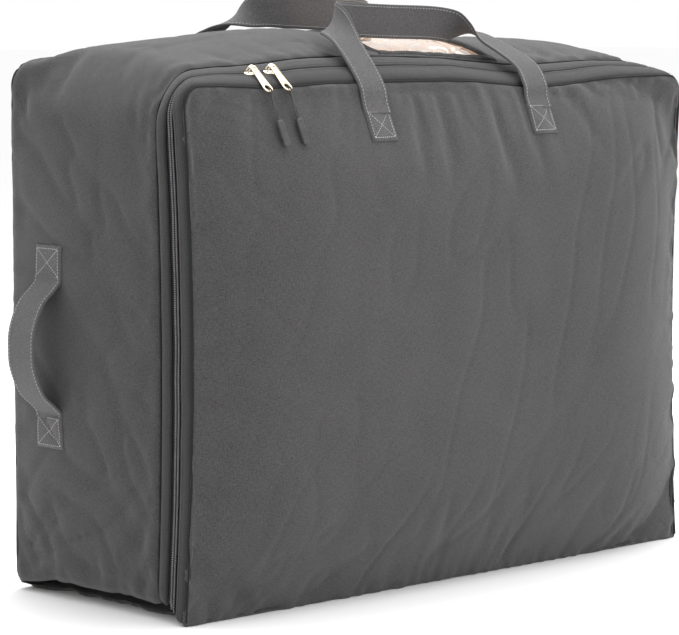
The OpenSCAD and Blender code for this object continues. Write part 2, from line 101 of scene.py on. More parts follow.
def area_light(name, place, size, power, target=(0, 0, 0.3)):
    data = bpy.data.lights.new(name, "AREA")
    data.shape = "RECTANGLE"
    data.size, data.size_y = size
    data.energy = power
    lamp = bpy.data.objects.new(name, data)
    lamp.location = place
    lamp.rotation_euler = (Vector(target) - Vector(place)).to_track_quat("-Z", "Y").to_euler()
    bpy.context.scene.collection.objects.link(lamp)


def make_studio():
    scene = bpy.context.scene
    scene.view_settings.view_transform = "Standard"
    world = bpy.data.worlds.new("studio")
    scene.world = world
    world.use_nodes = True
    room = world.node_tree.nodes["Background"]
    room.inputs[0].default_value = (1, 1, 1, 1)
    room.inputs[1].default_value = 1.0
    area_light("overhead", (0.5, 0.3, 2.5), (3.2, 2.6), 84)
    area_light("front_key", (0.4, -3.0, 1.4), (2.4, 2.0), 10)
    floor_mesh = bpy.data.meshes.new("floor")
    r = FLOOR_HALF
    floor_mesh.from_pydata([(-r, -r, 0), (r, -r, 0), (r, r, 0), (-r, r, 0)], [], [(0, 1, 2, 3)])
    floor = bpy.data.objects.new("floor", floor_mesh)
    scene.collection.objects.link(floor)
    floor.data.materials.append(plain_material("floor", (0.97, 0.97, 0.97), 0.9))


# ---- Materials ------------------------------------------------------------------------

class Shading:
    """A new material and short ways to add the nodes that the materials here share."""

    def __init__(self, name):
        self.material = bpy.data.materials.new(name)
        self.material.use_nodes = True
        self.nodes = self.material.node_tree.nodes
        self.link = self.material.node_tree.links.new
        self.shader = self.nodes["Principled BSDF"]

    def set(self, **values):
        """Uniform values of the shader, with _ in place of the spaces in their names."""
        for name, value in values.items():
            self.shader.inputs[name.replace("_", " ")].default_value = value

    def math(self, operation, a, b=None):
        node = self.nodes.new("ShaderNodeMath")
        node.operation = operation
        for slot, value in enumerate((a, b)):
            if isinstance(value, (int, float)):
                node.inputs[slot].default_value = value
            elif value is not None:
                self.link(value, node.inputs[slot])
        return node.outputs[0]

    def noise(self, vector, scale, detail=2, rough=0.5):
        node = self.nodes.new("ShaderNodeTexNoise")
        for name, value in (("Scale", scale), ("Detail", detail), ("Roughness", rough)):
            node.inputs[name].default_value = value
        self.link(vector, node.inputs["Vector"])
        return node.outputs[0]

    def colour(self, factor, low, high):
        """The base colour: from one colour to another between two (place, colour) stops."""
        ramp = self.nodes.new("ShaderNodeValToRGB")
        for element, (place, colour) in zip(ramp.color_ramp.elements, (low, high)):
            element.position = place
            element.color = (*colour, 1)
        self.link(factor, ramp.inputs[0])
        self.link(ramp.outputs[0], self.shader.inputs["Base Color"])

    def bump(self, height, strength, distance):
        node = self.nodes.new("ShaderNodeBump")
        node.inputs["Strength"].default_value = strength
        node.inputs["Distance"].default_value = distance
        self.link(height, node.inputs["Height"])
        self.link(node.outputs[0], self.shader.inputs["Normal"])


def plain_material(name, colour, roughness):
    shading = Shading(name)
    shading.set(Base_Color=(*colour, 1), Roughness=roughness)
    return shading.material


def weave_material(name, dark, light, pitch, bump=0.5):
    """Plain-weave cloth: threads of the given pitch (metres) along the mesh's own UVs."""
    s = Shading(name)
    uv = s.nodes.new("ShaderNodeUVMap")
    uv.uv_map = "cloth"
    place = uv.outputs[0]
    split = s.nodes.new("ShaderNodeSeparateXYZ")
    s.link(place, split.inputs[0])
    shift = s.math("MULTIPLY", s.noise(place, 90), 0.9)
    waves = []
    for axis in (0, 1):
        turns = s.math("MULTIPLY", split.outputs[axis], math.pi / pitch)
        waves.append(s.math("SINE", s.math("ADD", turns, shift)))
    threads = s.math("ABSOLUTE", s.math("MULTIPLY", waves[0], waves[1]))
    # slubs: long thin streaks of thicker yarn, both ways
    streaks = []
    for stretch in ((190, 1300, 1), (1300, 190, 1)):
        mapping = s.nodes.new("ShaderNodeMapping")
        mapping.inputs["Scale"].default_value = stretch
        s.link(place, mapping.inputs[0])
        streaks.append(s.noise(mapping.outputs[0], 1, 3))
    slub = s.math("ADD", *streaks)
    # tone: threads and slubs, with broad mottling and fine specks
    tone = s.math("ADD", s.math("MULTIPLY", threads, 0.35), s.math("MULTIPLY", slub, 0.42))
    for texture, share in ((s.noise(place, 14, 5, 0.65), 0.16), (s.noise(place, 620), 0.55)):
        tone = s.math("ADD", tone, s.math("MULTIPLY", s.math("SUBTRACT", texture, 0.5), share))
    s.colour(tone, (0.25, dark), (0.85, light))
    s.bump(s.math("ADD", threads, s.math("MULTIPLY", slub, 0.8)), bump, 0.25 * MM)
    s.set(Roughness=0.9, Sheen_Weight=0.2, Sheen_Roughness=0.5, Specular_IOR_Level=0.25)
    return s.material


def solid_material(name, colour, roughness, grain, metallic=0.0, grain_scale=900, vary=0.15):
    """A moulded or metal surface with slight colour variation and fine grain."""
    s = Shading(name)
    place = s.nodes.new("ShaderNodeTexCoord").outputs["Object"]
    fine = s.noise(place, grain_scale, 4)
    low = tuple(c * (1 - vary) for c in colour)
    high = tuple(min(1.0, c * (1 + vary)) for c in colour)
    s.colour(s.noise(place, 120), (0.35, low), (0.65, high))
    s.link(s.math("ADD", s.math("MULTIPLY", fine, 0.2), roughness - 0.1),
           s.shader.inputs["Roughness"])
    s.set(Metallic=metallic)
    s.bump(fine, grain, 0.1 * MM)
    return s.material


def film_material():
    """Soft clear vinyl, seen against the beige inside of the bag."""
    s = Shading("vinyl")
    place = s.nodes.new("ShaderNodeTexCoord").outputs["Object"]
    s.colour(s.noise(place, 16, 3), (0.3, (0.66, 0.45, 0.32)), (0.7, (0.88, 0.68, 0.54)))
    s.set(Roughness=0.12, Alpha=0.78, IOR=1.5, Coat_Weight=1.0, Coat_Roughness=0.04)
    return s.material


# ---- Mesh helpers ---------------------------------------------------------------------

def make_object(name, verts, faces, uvs=None):
    mesh = bpy.data.meshes.new(name)
    mesh.from_pydata([tuple(v) for v in verts], [], [tuple(f) for f in faces])
    if uvs is not None:
        layer = mesh.uv_layers.new(name="cloth")
        loops = np.empty(len(mesh.loops), dtype=np.int32)
        mesh.loops.foreach_get("vertex_index", loops)
        layer.data.foreach_set("uv", np.asarray(uvs, np.float32)[loops].ravel())
    mesh.polygons.foreach_set("use_smooth", [True] * len(mesh.polygons))
    mesh.validate()
    piece = bpy.data.objects.new(name, mesh)
    bpy.context.scene.collection.objects.link(piece)
    return piece


def dress(piece, material, slot, *nodes):
    """Gives a piece its material and hides the CAD nodes it stands for. Its slot is not used."""
    piece.data.materials.append(material)
    if nodes:
        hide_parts(*nodes)


def finish_piece(piece, material, body, slot, *nodes):
    dress(piece, material, slot, *nodes)
    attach(piece, body)


def run_length(points):
    """Distance along a line of points, from 0 at the first."""
    return np.concatenate([[0], np.cumsum(np.linalg.norm(np.diff(points, axis=0), axis=1))])


def uv_grid(along, across):
    return np.stack(np.meshgrid(along, across, indexing="ij"), -1).reshape(-1, 2)


def arc_uv(points):
    """Metres along both ways of a grid of points, taken along its middle lines."""
    nu, nv = points.shape[:2]
    return uv_grid(run_length(points[:, nv // 2]), run_length(points[nu // 2]))


def slab(name, outer, inner, mask=None):
    """A closed sheet between two grids of points; mask says which cells are there."""
    nu, nv = outer.shape[:2]
    n = nu * nv
    live = np.ones((nu - 1, nv - 1), bool) if mask is None else mask
    ids = np.arange(n).reshape(nu, nv)
    a, b, c, d = ids[:-1, :-1], ids[1:, :-1], ids[1:, 1:], ids[:-1, 1:]
    quads = np.stack([a, b, c, d], -1)
    faces = [quads[live], quads[live][:, ::-1] + n]
    padded = np.pad(live, 1)
    core = padded[1:-1, 1:-1]
    for (p, q, step) in ((b, a, (1, 0)), (c, b, (2, 1)), (d, c, (1, 2)), (a, d, (0, 1))):
        near = padded[step[0]:step[0] + live.shape[0], step[1]:step[1] + live.shape[1]]
        edge = core & ~near
        pp, qq = p[edge], q[edge]
        faces.append(np.stack([pp, qq, qq + n, pp + n], -1))
    faces = np.concatenate(faces)
    uv = arc_uv(outer)
    verts = np.concatenate([outer.reshape(-1, 3), inner.reshape(-1, 3)])
    used = np.zeros(2 * n, bool)
    used[faces.ravel()] = True
    remap = np.cumsum(used) - 1
    return make_object(name, verts[used], remap[faces].tolist(),
                       np.concatenate([uv, uv])[used])


def joined(parts):
    """Several (verts, faces) lists as one."""
    verts, faces, base = [], [], 0
    for v, f in parts:
        verts.append(np.asarray(v, float))
        faces.append(np.asarray(f, int) + base)
        base += len(v)
    return np.concatenate(verts), np.concatenate(faces)


def joined_object(name, parts):
    verts, faces = joined(parts)
    return make_object(name, verts, faces.tolist())


def stitched_object(name, parts, material, body, *nodes):
    finish_piece(joined_object(name, parts), material, body, "thread", *nodes)


def band_quads(pairs, sides, flip=False):
    """Quads between rings of points, for pairs of ring numbers."""
    quads = [(i * sides + k, i * sides + (k + 1) % sides,
              j * sides + (k + 1) % sides, j * sides + k) for i, j in pairs for k in range(sides)]
    return [(a, d, c, b) for a, b, c, d in quads] if flip else quads


def end_quads(first, sides, flip):
    """Quads that close the ring of points starting at number first."""
    last = first + sides - 1
    quads = [(first + k, first + k + 1, last - 1 - k, last - k) for k in range(sides // 2 - 1)]
    return [quad[::-1] for quad in quads] if flip else quads


def steps(count):
    """Pairs of neighbouring ring numbers."""
    return [(i, i + 1) for i in range(count - 1)]


def capsules(centres, along, across, out, length, width, height, rings=5, sides=8):
    """Many small rounded bars: one at each centre, long in 'along'. Returns (verts, faces)."""
    t = np.linspace(-1, 1, rings)
    radius = np.sqrt(np.clip(1 - np.abs(t) ** 3.0, 0.02, 1))
    ang = np.linspace(0, 2 * math.pi, sides, endpoint=False)
    local = np.stack([
        np.repeat(t, sides) * length / 2,
        (radius[:, None] * np.cos(ang)[None]).ravel() * width / 2,
        (radius[:, None] * np.sin(ang)[None]).ravel() * height / 2], -1)
    m = len(centres)
    verts = (centres[:, None] + local[None, :, :1] * along[:, None]
             + local[None, :, 1:2] * across[:, None] + local[None, :, 2:] * out[:, None])
    faces = band_quads(steps(rings), sides)
    faces += end_quads(0, sides, True) + end_quads((rings - 1) * sides, sides, False)
    faces = np.array(faces)
    per = rings * sides
    all_faces = (faces[None] + (np.arange(m) * per)[:, None, None]).reshape(-1, 4)
    return verts.reshape(-1, 3), all_faces


def unit(v):
    return v / np.maximum(np.linalg.norm(v, axis=-1, keepdims=True), 1e-12)


def smoothstep(t):
    t = np.clip(t, 0, 1)
    return t * t * (3 - 2 * t)


# ---- The stuffed shell: its form before the cloth is simulated ------------------------

N_SIDE, N_TOP, N_TOP_CORNER, N_LOW_CORNER = 56, 80, 6, 4
N_DEPTH = 32
HALF_TC, HALF_LC = N_TOP_CORNER // 2, N_LOW_CORNER // 2
N_LEFT = HALF_LC + N_SIDE + HALF_TC
N_ACROSS = N_TOP + N_TOP_CORNER
N_BOTTOM = N_ACROSS - N_LOW_CORNER
N_RING = 2 * (N_LEFT + N_ACROSS)
U_SIDE = HALF_LC
U_TOP = N_LEFT + HALF_TC
U_RIGHT_END = 2 * N_LEFT + N_ACROSS


def top_radius(d):
    return (20 + 26 * smoothstep(d / (55 * MM)) - 22 * smoothstep((d - 0.19) / 0.06)) * MM


def low_radius(d):
    return (5 + 27 * smoothstep(d / (45 * MM)) - 12 * smoothstep((d - 0.19) / 0.06)) * MM


def edge_height(d):
    return HEIGHT + (BACK_HEIGHT - HEIGHT) * d / DEPTH


def crown(x, d):
    """Height of the stuffed top above the straight line between its front and back edges."""
    width = np.where(x > -0.12, 0.25, 0.13)
    peak = 23 * MM + 15 * MM * np.exp(-((x + 0.12) / width) ** 2)
    across = np.clip(np.sin(math.pi * np.clip(d / DEPTH, 0, 1)), 0, 1) ** 0.8
    ends = 1 - np.abs(np.clip(x / HALF_W, -1, 1)) ** 12
    return peak * across * ends


def front_dip(x):
    """How far the front top seam lies below the panel's height: it sags at the pulls and the
    right handle, and stands a little higher elsewhere."""
    return (3.0 * np.exp(-((x + 0.235) / 0.05) ** 2)
            + 8.5 * np.exp(-((x - 0.13) / 0.08) ** 2) - 3.0) * MM


def side_form(z, d):
    """Sideways displacement of a side, outward positive: pinched at the zip, full behind it."""
    rise = np.clip(np.sin(math.pi * np.clip(z / HEIGHT, 0, 1)), 0, 1)
    pinch = -10 * MM * rise ** 0.8 * np.exp(-(d / 0.075) ** 2)
    full = 6 * MM * rise * np.exp(-((d - 0.155) / 0.06) ** 2)
    back = 4 * MM * smoothstep((d - 0.12) / 0.1)
    return pinch + full + back


def ring_form(u, d):
    """A point of the ring (up the left, over the top, down the right, under) at depth d."""
    u = np.asarray(u, float) % N_RING
    rt, rb, h = top_radius(d), low_radius(d), edge_height(d)
    quarter = math.pi / 2
    mirrored = u > N_LEFT + N_ACROSS / 2
    right = (u <= 2 * N_LEFT + N_ACROSS) & mirrored
    low = u > U_RIGHT_END
    w = np.where(right, U_RIGHT_END - u, u)
    side_t = (w - U_SIDE) / N_SIDE
    low_a = quarter / 2 * (1 - w / HALF_LC)
    top_a = (w - U_SIDE - N_SIDE) / N_TOP_CORNER * quarter
    top_t = (w - U_TOP) / N_TOP
    x = np.select([w < U_SIDE, w <= U_SIDE + N_SIDE, w < U_TOP],
                  [-HALF_W + rb - rb * np.cos(low_a), -HALF_W + 0 * rb,
                   -HALF_W + rt - rt * np.cos(top_a)],
                  -HALF_W + rt + top_t * (2 * HALF_W - 2 * rt))
    z = np.select([w < U_SIDE, w <= U_SIDE + N_SIDE, w < U_TOP],
                  [rb - rb * np.sin(low_a), rb + side_t * (h - rt - rb),
                   h - rt + rt * np.sin(top_a)], h)
    up = np.select([w <= U_SIDE + N_SIDE, w < U_TOP], [0 * w, np.sin(top_a) ** 2], 1 + 0 * w)
    # the bottom runs back from right to left
    b = u - U_RIGHT_END
    b_mirror = np.where(b > N_ACROSS / 2, N_ACROSS - b, b)
    b_a = quarter / 2 * (1 + b_mirror / HALF_LC)
    b_t = (b_mirror - HALF_LC) / N_BOTTOM
    bx = np.where(b_mirror < HALF_LC, HALF_W - rb + rb * np.cos(b_a),
                  HALF_W - rb - b_t * (2 * HALF_W - 2 * rb))
    bz = np.where(b_mirror < HALF_LC, rb - rb * np.sin(b_a), 0)
    bx = np.where(b > N_ACROSS / 2, -bx, bx)
    x = np.where(right, -x, x)
    x = np.where(low, bx, x)
    z = np.where(low, bz, z)
    up = np.where(low, 0, up)
    sign = np.sign(x)
    z = z + up * (crown(x, d) - front_dip(x) * np.exp(-(d / 0.06) ** 2))
    x = x + sign * (1 - up) * np.where(low, 0, 1) * side_form(z, d)
    return np.stack(np.broadcast_arrays(x, FRONT_Y + d, z), -1)


def coons(boundary):
    """A grid over the panel inside one closed edge of the ring, boundary[u] as points."""
    ni, nj = N_ACROSS, N_LEFT
    left = boundary[:nj + 1]
    top = boundary[nj:nj + ni + 1]
    right = boundary[[U_RIGHT_END - j for j in range(nj + 1)]]
    bottom = boundary[[(N_RING - i) % N_RING for i in range(ni + 1)]]
    s = np.linspace(0, 1, ni + 1)[:, None, None]
    t = np.linspace(0, 1, nj + 1)[None, :, None]
    grid = ((1 - s) * left[None] + s * right[None] + (1 - t) * bottom[:, None] + t * top[:, None]
            - (1 - s) * (1 - t) * left[0] - s * (1 - t) * right[0]
            - (1 - s) * t * left[-1] - s * t * right[-1])
    return grid


def swell(t):
    """How far a stuffed panel has risen (0 to 1) at a distance t in from its seam."""
    return 1 - np.exp(-(np.maximum(t, 0) / (60 * MM)) ** 1.5)


def panel_bulge(grid, depth, sign):
    """Pushes a panel out by depth, with its edges held."""
    x, z = grid[..., 0], grid[..., 2]
    top = grid[:, -1:, 2]
    full = swell(HALF_W - np.abs(x)) * swell(top - z) * swell(z - 5 * MM)
    grid = grid.copy()
    grid[..., 1] += sign * depth * full
    return grid


def build_shell():
    """The whole bag as one closed mesh: (verts, faces, index arrays of ring, front, back)."""
    u = np.arange(N_RING)[:, None]
    d = (np.arange(N_DEPTH + 1) / N_DEPTH * DEPTH)[None]
    ring = ring_form(u + 0 * d, d + 0 * u)
    front = panel_bulge(coons(ring[:, 0]), BULGE, -1)
    back = panel_bulge(coons(ring[:, -1]), 6 * MM, 1)
    ring_ids = np.arange(ring[..., 0].size).reshape(N_RING, N_DEPTH + 1)
    base = ring_ids.size
    verts = [ring.reshape(-1, 3)]
    panels = []
    for grid, column in ((front, 0), (back, N_DEPTH)):
        ids = np.zeros((N_ACROSS + 1, N_LEFT + 1), int)
        edge = ring_ids[:, column]
        ids[0] = edge[:N_LEFT + 1]
        ids[:, -1] = edge[N_LEFT:N_LEFT + N_ACROSS + 1]
        ids[-1] = edge[[U_RIGHT_END - j for j in range(N_LEFT + 1)]]
        ids[:, 0] = edge[[(N_RING - i) % N_RING for i in range(N_ACROSS + 1)]]
        inside = grid[1:-1, 1:-1]
        count = inside[..., 0].size
        ids[1:-1, 1:-1] = base + np.arange(count).reshape(inside.shape[:2])
        base += count
        verts.append(inside.reshape(-1, 3))
        panels.append(ids)
    closed = np.vstack([ring_ids, ring_ids[:1]])
    faces = [np.stack([closed[:-1, :-1], closed[1:, :-1], closed[1:, 1:], closed[:-1, 1:]], -1)]
    for ids, flip in zip(panels, (False, True)):
        quad = np.stack([ids[:-1, :-1], ids[1:, :-1], ids[1:, 1:], ids[:-1, 1:]], -1)
        faces.append(quad[..., ::-1] if flip else quad)
    faces = np.concatenate([f.reshape(-1, 4) for f in faces])
    return np.concatenate(verts), faces, ring_ids, panels[0], panels[1]


SIM_FRAMES = 20


def simulate(verts, faces, held, cap):
    """Swells the cloth by some frames of pressure, with the seams held, and caps the movement."""
    shell = make_object("shell_form", verts, faces.tolist())
    group = shell.vertex_groups.new(name="held")
    group.add(np.flatnonzero(held).tolist(), 1.0, "REPLACE")
    cloth = shell.modifiers.new("cloth", "CLOTH")
    s = cloth.settings
    s.quality = 6
    s.mass = 0.3
    s.tension_stiffness = 25
    s.compression_stiffness = 20
    s.shear_stiffness = 12
    s.bending_stiffness = 0.6
    s.use_pressure = True
    s.uniform_pressure_force = 3.0
    s.shrink_min = -0.018
    s.vertex_group_mass = "held"
    s.pin_stiffness = 1.0
    s.effector_weights.gravity = 0.0
    cloth.collision_settings.use_collision = False
    scene = bpy.context.scene
    for step in range(1, SIM_FRAMES + 1):
        scene.frame_set(step)
    graph = bpy.context.evaluated_depsgraph_get()
    done = shell.evaluated_get(graph).data
    moved = np.empty(len(done.vertices) * 3)
    done.vertices.foreach_get("co", moved)
    moved = moved.reshape(-1, 3) - verts
    scene.frame_set(1)
    bpy.data.objects.remove(shell)
    length = np.linalg.norm(moved, axis=1, keepdims=True)
    return verts + moved * np.minimum(1, cap * np.tanh(length / cap) / np.maximum(length, 1e-9))


def cubic(t):
    return np.stack([-0.5 * t + t ** 2 - 0.5 * t ** 3, 1 - 2.5 * t ** 2 + 1.5 * t ** 3,
                     0.5 * t + 2 * t ** 2 - 1.5 * t ** 3, -0.5 * t ** 2 + 0.5 * t ** 3], -1)


class Surface:
    """A smooth surface through a grid of points, read by grid place with an outward offset."""

    def __init__(self, grid, wraps=False, flip=False):
        self.grid, self.wraps, self.flip = grid, wraps, flip

    def point(self, u, v):
        u, v = np.broadcast_arrays(np.asarray(u, float), np.asarray(v, float))
        nu, nv = self.grid.shape[:2]
        if not self.wraps:
            u = np.clip(u, 0, nu - 1 - 1e-9)
        v = np.clip(v, 0, nv - 1 - 1e-9)
        iu, iv = np.floor(u).astype(int), np.floor(v).astype(int)
        wu, wv = cubic(u - iu), cubic(v - iv)
        out = 0
        for a in range(4):
            row = (iu + a - 1) % nu if self.wraps else np.clip(iu + a - 1, 0, nu - 1)
            for b in range(4):
                col = np.clip(iv + b - 1, 0, nv - 1)
                out = out + (wu[..., a] * wv[..., b])[..., None] * self.grid[row, col]
        return out

    def slopes(self, u, v, e=0.2):
        du = unit(self.point(u + e, v) - self.point(u - e, v))
        dv = unit(self.point(u, v + e) - self.point(u, v - e))
        normal = unit(np.cross(du, dv))
        return du, dv, -normal if self.flip else normal

    def at(self, u, v, off=0.0):
        u, v = np.broadcast_arrays(np.asarray(u, float), np.asarray(v, float))
        normal = self.slopes(u, v)[2]
        return self.point(u, v) + normal * np.asarray(off)[..., None]


def freedom(verts):
    """How far the simulated cloth may move: little behind the hanging pulls and the window."""
    x, y, z = verts.T
    lo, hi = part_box("left_pull_grip")
    pulls = np.exp(-(((x - lo[0]) / 0.09) ** 2 + ((z - hi[2]) / 0.10) ** 2)) * (y < 0)
    lo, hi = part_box("window_binding")
    aside = np.maximum(np.abs(x - (lo[0] + hi[0]) / 2) - (hi[0] - lo[0]) / 2, 0)
    window = np.exp(-(aside / 0.04) ** 2) * (z > HEIGHT - 8 * MM)
    return ((3.6 - 3.0 * np.maximum(pulls, window)) * MM)[:, None]


def shell_surfaces():
    verts, faces, ring_ids, front_ids, back_ids = build_shell()
    held = np.zeros(len(verts), bool)
    band_column = int(round(BAND / DEPTH * N_DEPTH))
    held[ring_ids[:, -1]] = True
    held[ring_ids[:, :band_column + 1]] = True
    held[ring_ids[[0, U_RIGHT_END]]] = True
    verts = simulate(verts, faces, held, freedom(verts))
    return (Surface(verts[ring_ids], wraps=True), Surface(verts[front_ids]),
            Surface(verts[back_ids], flip=True))


def v_at(d):
    """Grid place across the depth for a distance d behind the front edge."""
    return np.asarray(d, float) / DEPTH * N_DEPTH


def u_top(x, d):
    rt = top_radius(d)
    return U_TOP + N_TOP * (x + HALF_W - rt) / (2 * HALF_W - 2 * rt)


def u_left(z, d):
    rt, rb = top_radius(d), low_radius(d)
    return U_SIDE + N_SIDE * (z - rb) / (edge_height(d) - rt - rb)


# ---- Folds and wrinkles of the cloth --------------------------------------------------

LATTICE = rng.random((32, 32, 32))


def noise(p, scale, shift=0.0):
    """Smooth noise from -1 to 1 over points p, with blobs about scale metres across."""
    q = p / scale + 100 + shift * 7.3
    cell = np.floor(q).astype(int)
    f = q - cell
    f = f * f * (3 - 2 * f)
    total = 0
    for corner in range(8):
        step = np.array([corner & 1, corner >> 1 & 1, corner >> 2 & 1])
        k = (cell + step) % 32
        weight = np.prod(np.where(step == 1, f, 1 - f), axis=-1)
        total = total + weight * LATTICE[k[..., 0], k[..., 1], k[..., 2]]
    return 2 * total - 1


def creases(p, along, width, length, shift=0.0):
    """Thin valleys (0 to 1) that run along one direction, broken up by noise."""
    along = np.asarray(along, float) / np.linalg.norm(along)
    run = (p @ along)[..., None] * along
    q = run / length + (p - run) / width
    bent = q + 0.55 * noise(p, 0.09, shift + 3)[..., None]
    ridge = 1 - np.abs(noise(bent, 1.0, shift))
    return np.clip(ridge, 0, 1) ** 7


def edge_roll(e):
    """A seam: the cloth turns in over the last few millimetres and swells just before it."""
    return -1.5 * MM * np.exp(-(e / (2.6 * MM)) ** 2) + 0.7 * MM * np.exp(
        -((e - 8 * MM) / (6 * MM)) ** 2)


def pucker(p, e, pitch=21 * MM):
    """Short gathers square to a seam, strongest a little way in from it."""
    wave = noise(p, pitch, 5.0)
    return 1.5 * MM * wave * (e / (10 * MM)) * np.exp(1 - e / (10 * MM))


def panel_folds(p, e):
    inside = smoothstep(e / (30 * MM))
    low = np.exp(-(p[..., 2] / 0.11) ** 2)
    left = np.exp(-((p[..., 0] + HALF_W) / 0.09) ** 2)
    top_right = np.exp(-((p[..., 0] - 0.29) / 0.09) ** 2 - ((p[..., 2] - 0.43) / 0.08) ** 2)
    broad = 2.3 * MM * noise(p, 0.13, 1.0) + 0.8 * MM * noise(p, 0.045, 2.0)
    sharp = (3.4 * MM * top_right * creases(p, (0.8, 0, 0.6), 26 * MM, 0.11, 1.0)
             + 1.6 * MM * left * creases(p, (0.75, 0, -0.5), 24 * MM, 0.09, 2.0)
             + 2.2 * MM * low * creases(p, (0.6, 0, 0.8), 28 * MM, 0.10, 3.0)
             + 0.9 * MM * creases(p, (0.3, 0, 1.0), 40 * MM, 0.2, 4.0))
    return inside * (broad - sharp) + pucker(p, e) + edge_roll(e)


def ring_folds(p, d):
    """Folds of the sides and top behind the zip band; inside the band the cloth is flatter."""
    e = np.minimum(np.abs(d - BAND), DEPTH - d)
    in_band = d < BAND
    inside = smoothstep(e / (26 * MM))
    side = smoothstep((np.abs(p[..., 0]) - 0.30) / 0.03)
    low = np.exp(-(p[..., 2] / 0.16) ** 2)
    floor = smoothstep(p[..., 2] / (40 * MM))
    broad = 1.6 * MM * noise(p, 0.10, 6.0) + 0.8 * MM * noise(p, 0.04, 7.0)
    sharp = (side * low * 3.6 * MM * creases(p, (0, 0.75, -0.65), 24 * MM, 0.12, 5.0)
             + side * 2.4 * MM * creases(p, (0, 0.6, 0.8), 26 * MM, 0.10, 6.0)
             + (1 - side) * 1.6 * MM * creases(p, (0.3, 1.0, 0), 26 * MM, 0.08, 7.0))
    behind = inside * (broad - sharp) + pucker(p, e)
    return floor * np.where(in_band, 0.5 * MM * noise(p, 0.03, 8.0) * smoothstep(d / 0.006),
                            behind)


class ClothSurface(Surface):
    """A surface with its folds: 'at' follows them, so whatever lies on the cloth does too."""

    def __init__(self, grid, kind, **keys):
        super().__init__(grid, **keys)
        self.kind = kind

    def edge(self, u, v):
        nu, nv = self.grid.shape[:2]
        across = np.minimum(u, nu - 1 - u) * 2 * HALF_W / (nu - 1)
        up = np.minimum(v, nv - 1 - v) * HEIGHT / (nv - 1)
        return np.minimum(across, up)

    def at(self, u, v, off=0.0):
        u, v = np.broadcast_arrays(np.asarray(u, float), np.asarray(v, float))
        p = self.point(u, v)
        normal = self.slopes(u, v)[2]
        if self.kind == "ring":
            fold = ring_folds(p, v / N_DEPTH * DEPTH)
        else:
            fold = panel_folds(p, self.edge(u, v))
        out = p + normal * (np.asarray(off) + fold)[..., None]
        out[..., 2] = np.maximum(out[..., 2], 0.0)
        return out

    def frame_at(self, u, v, off=0.0, e=0.12):
        """Points on the folded cloth with unit directions along u, along v and outward."""
        p = self.at(u, v, off)
        du = unit(self.at(np.asarray(u) + e, v, off) - self.at(np.asarray(u) - e, v, off))
        dv = unit(self.at(u, np.asarray(v) + e, off) - self.at(u, np.asarray(v) - e, off))
        normal = unit(np.cross(du, dv))
        return p, du, dv, -normal if self.flip else normal

    def find(self, x, z):
        """Grid place of the surface point with this X and Z, for a panel."""
        nu, nv = self.grid.shape[:2]
        u = (np.asarray(x, float) + HALF_W) / (2 * HALF_W) * (nu - 1)
        v = np.asarray(z, float) / HEIGHT * (nv - 1)
        u, v = np.clip(u, 0.2, nu - 1.2), np.clip(v, 0.2, nv - 1.2)
        for _ in range(6):
            p = self.point(u, v)
            pu = (self.point(u + 0.1, v) - self.point(u - 0.1, v)) / 0.2
            pv = (self.point(u, v + 0.1) - self.point(u, v - 0.1)) / 0.2
            rx, rz = x - p[..., 0], z - p[..., 2]
            det = pu[..., 0] * pv[..., 2] - pu[..., 2] * pv[..., 0]
            u = u + (rx * pv[..., 2] - rz * pv[..., 0]) / det
            v = v + (rz * pu[..., 0] - rx * pu[..., 2]) / det
            u, v = np.clip(u, 0.2, nu - 1.2), np.clip(v, 0.2, nv - 1.2)
        return u, v


# ---- Cloth pieces ---------------------------------------------------------------------

def spread(*stops):
    """Values through stops given as (value, count of steps to the next)."""
    values = []
    for (a, n), (b, _) in zip(stops[:-1], stops[1:]):
        values.append(np.linspace(a, b, n, endpoint=False))
    return np.concatenate(values + [[stops[-1][0]]])


def window_places():
    mid = (WIN_D[0] + WIN_D[1]) / 2
    return u_top(WIN_X[0], mid), u_top(WIN_X[1], mid)


def panel_piece(name, surface, inset=0.0, off=0.0, thick=CLOTH, cells=(230, 165)):
    nu, nv = surface.grid.shape[:2]
    u = np.linspace(inset, nu - 1 - inset, cells[0])[:, None]
    v = np.linspace(inset, nv - 1 - inset, cells[1])[None]
    return slab(name, surface.at(u, v, off), surface.at(u, v, off - thick))


def gusset_piece(name, ring, d0, d1, off, thick, window_grow=0.0, steps=(150, 34, 118),
                 rows=(6, 26, 18)):
    """The U of cloth round the sides and the top, with its window left open."""
    w0, w1 = window_places()
    grow_u = window_grow / (2 * HALF_W) * N_TOP
    us = spread((HALF_LC * 0.3, steps[0]), (w0 - grow_u, steps[1]), (w1 + grow_u, steps[2]),
                (U_RIGHT_END - HALF_LC * 0.3, 0))
    ds = spread((d0, rows[0]), (WIN_D[0] - window_grow, rows[1]), (WIN_D[1] + window_grow, rows[2]),
                (d1, 0))
    u, d = us[:, None], ds[None]
    mask = np.ones((len(us) - 1, len(ds) - 1), bool)
    mask[steps[0]:steps[0] + steps[1], rows[0]:rows[0] + rows[1]] = False
    e = np.minimum(d - d0, d1 - d) + 0 * u
    lift = off + edge_roll(e)
    return slab(name, ring.at(u, v_at(d), lift), ring.at(u, v_at(d), lift - thick), mask)


def bottom_piece(name, ring, off, thick, d0):
    us = np.linspace(U_RIGHT_END + HALF_LC * 0.6, N_RING - HALF_LC * 0.6, 90)[:, None]
    ds = np.linspace(d0, DEPTH - 1.5 * MM, 34)[None]
    outer = ring.at(us, v_at(ds), off)
    inner = ring.at(us, v_at(ds), off) + np.array([0, 0, thick])
    return slab(name, outer, inner)


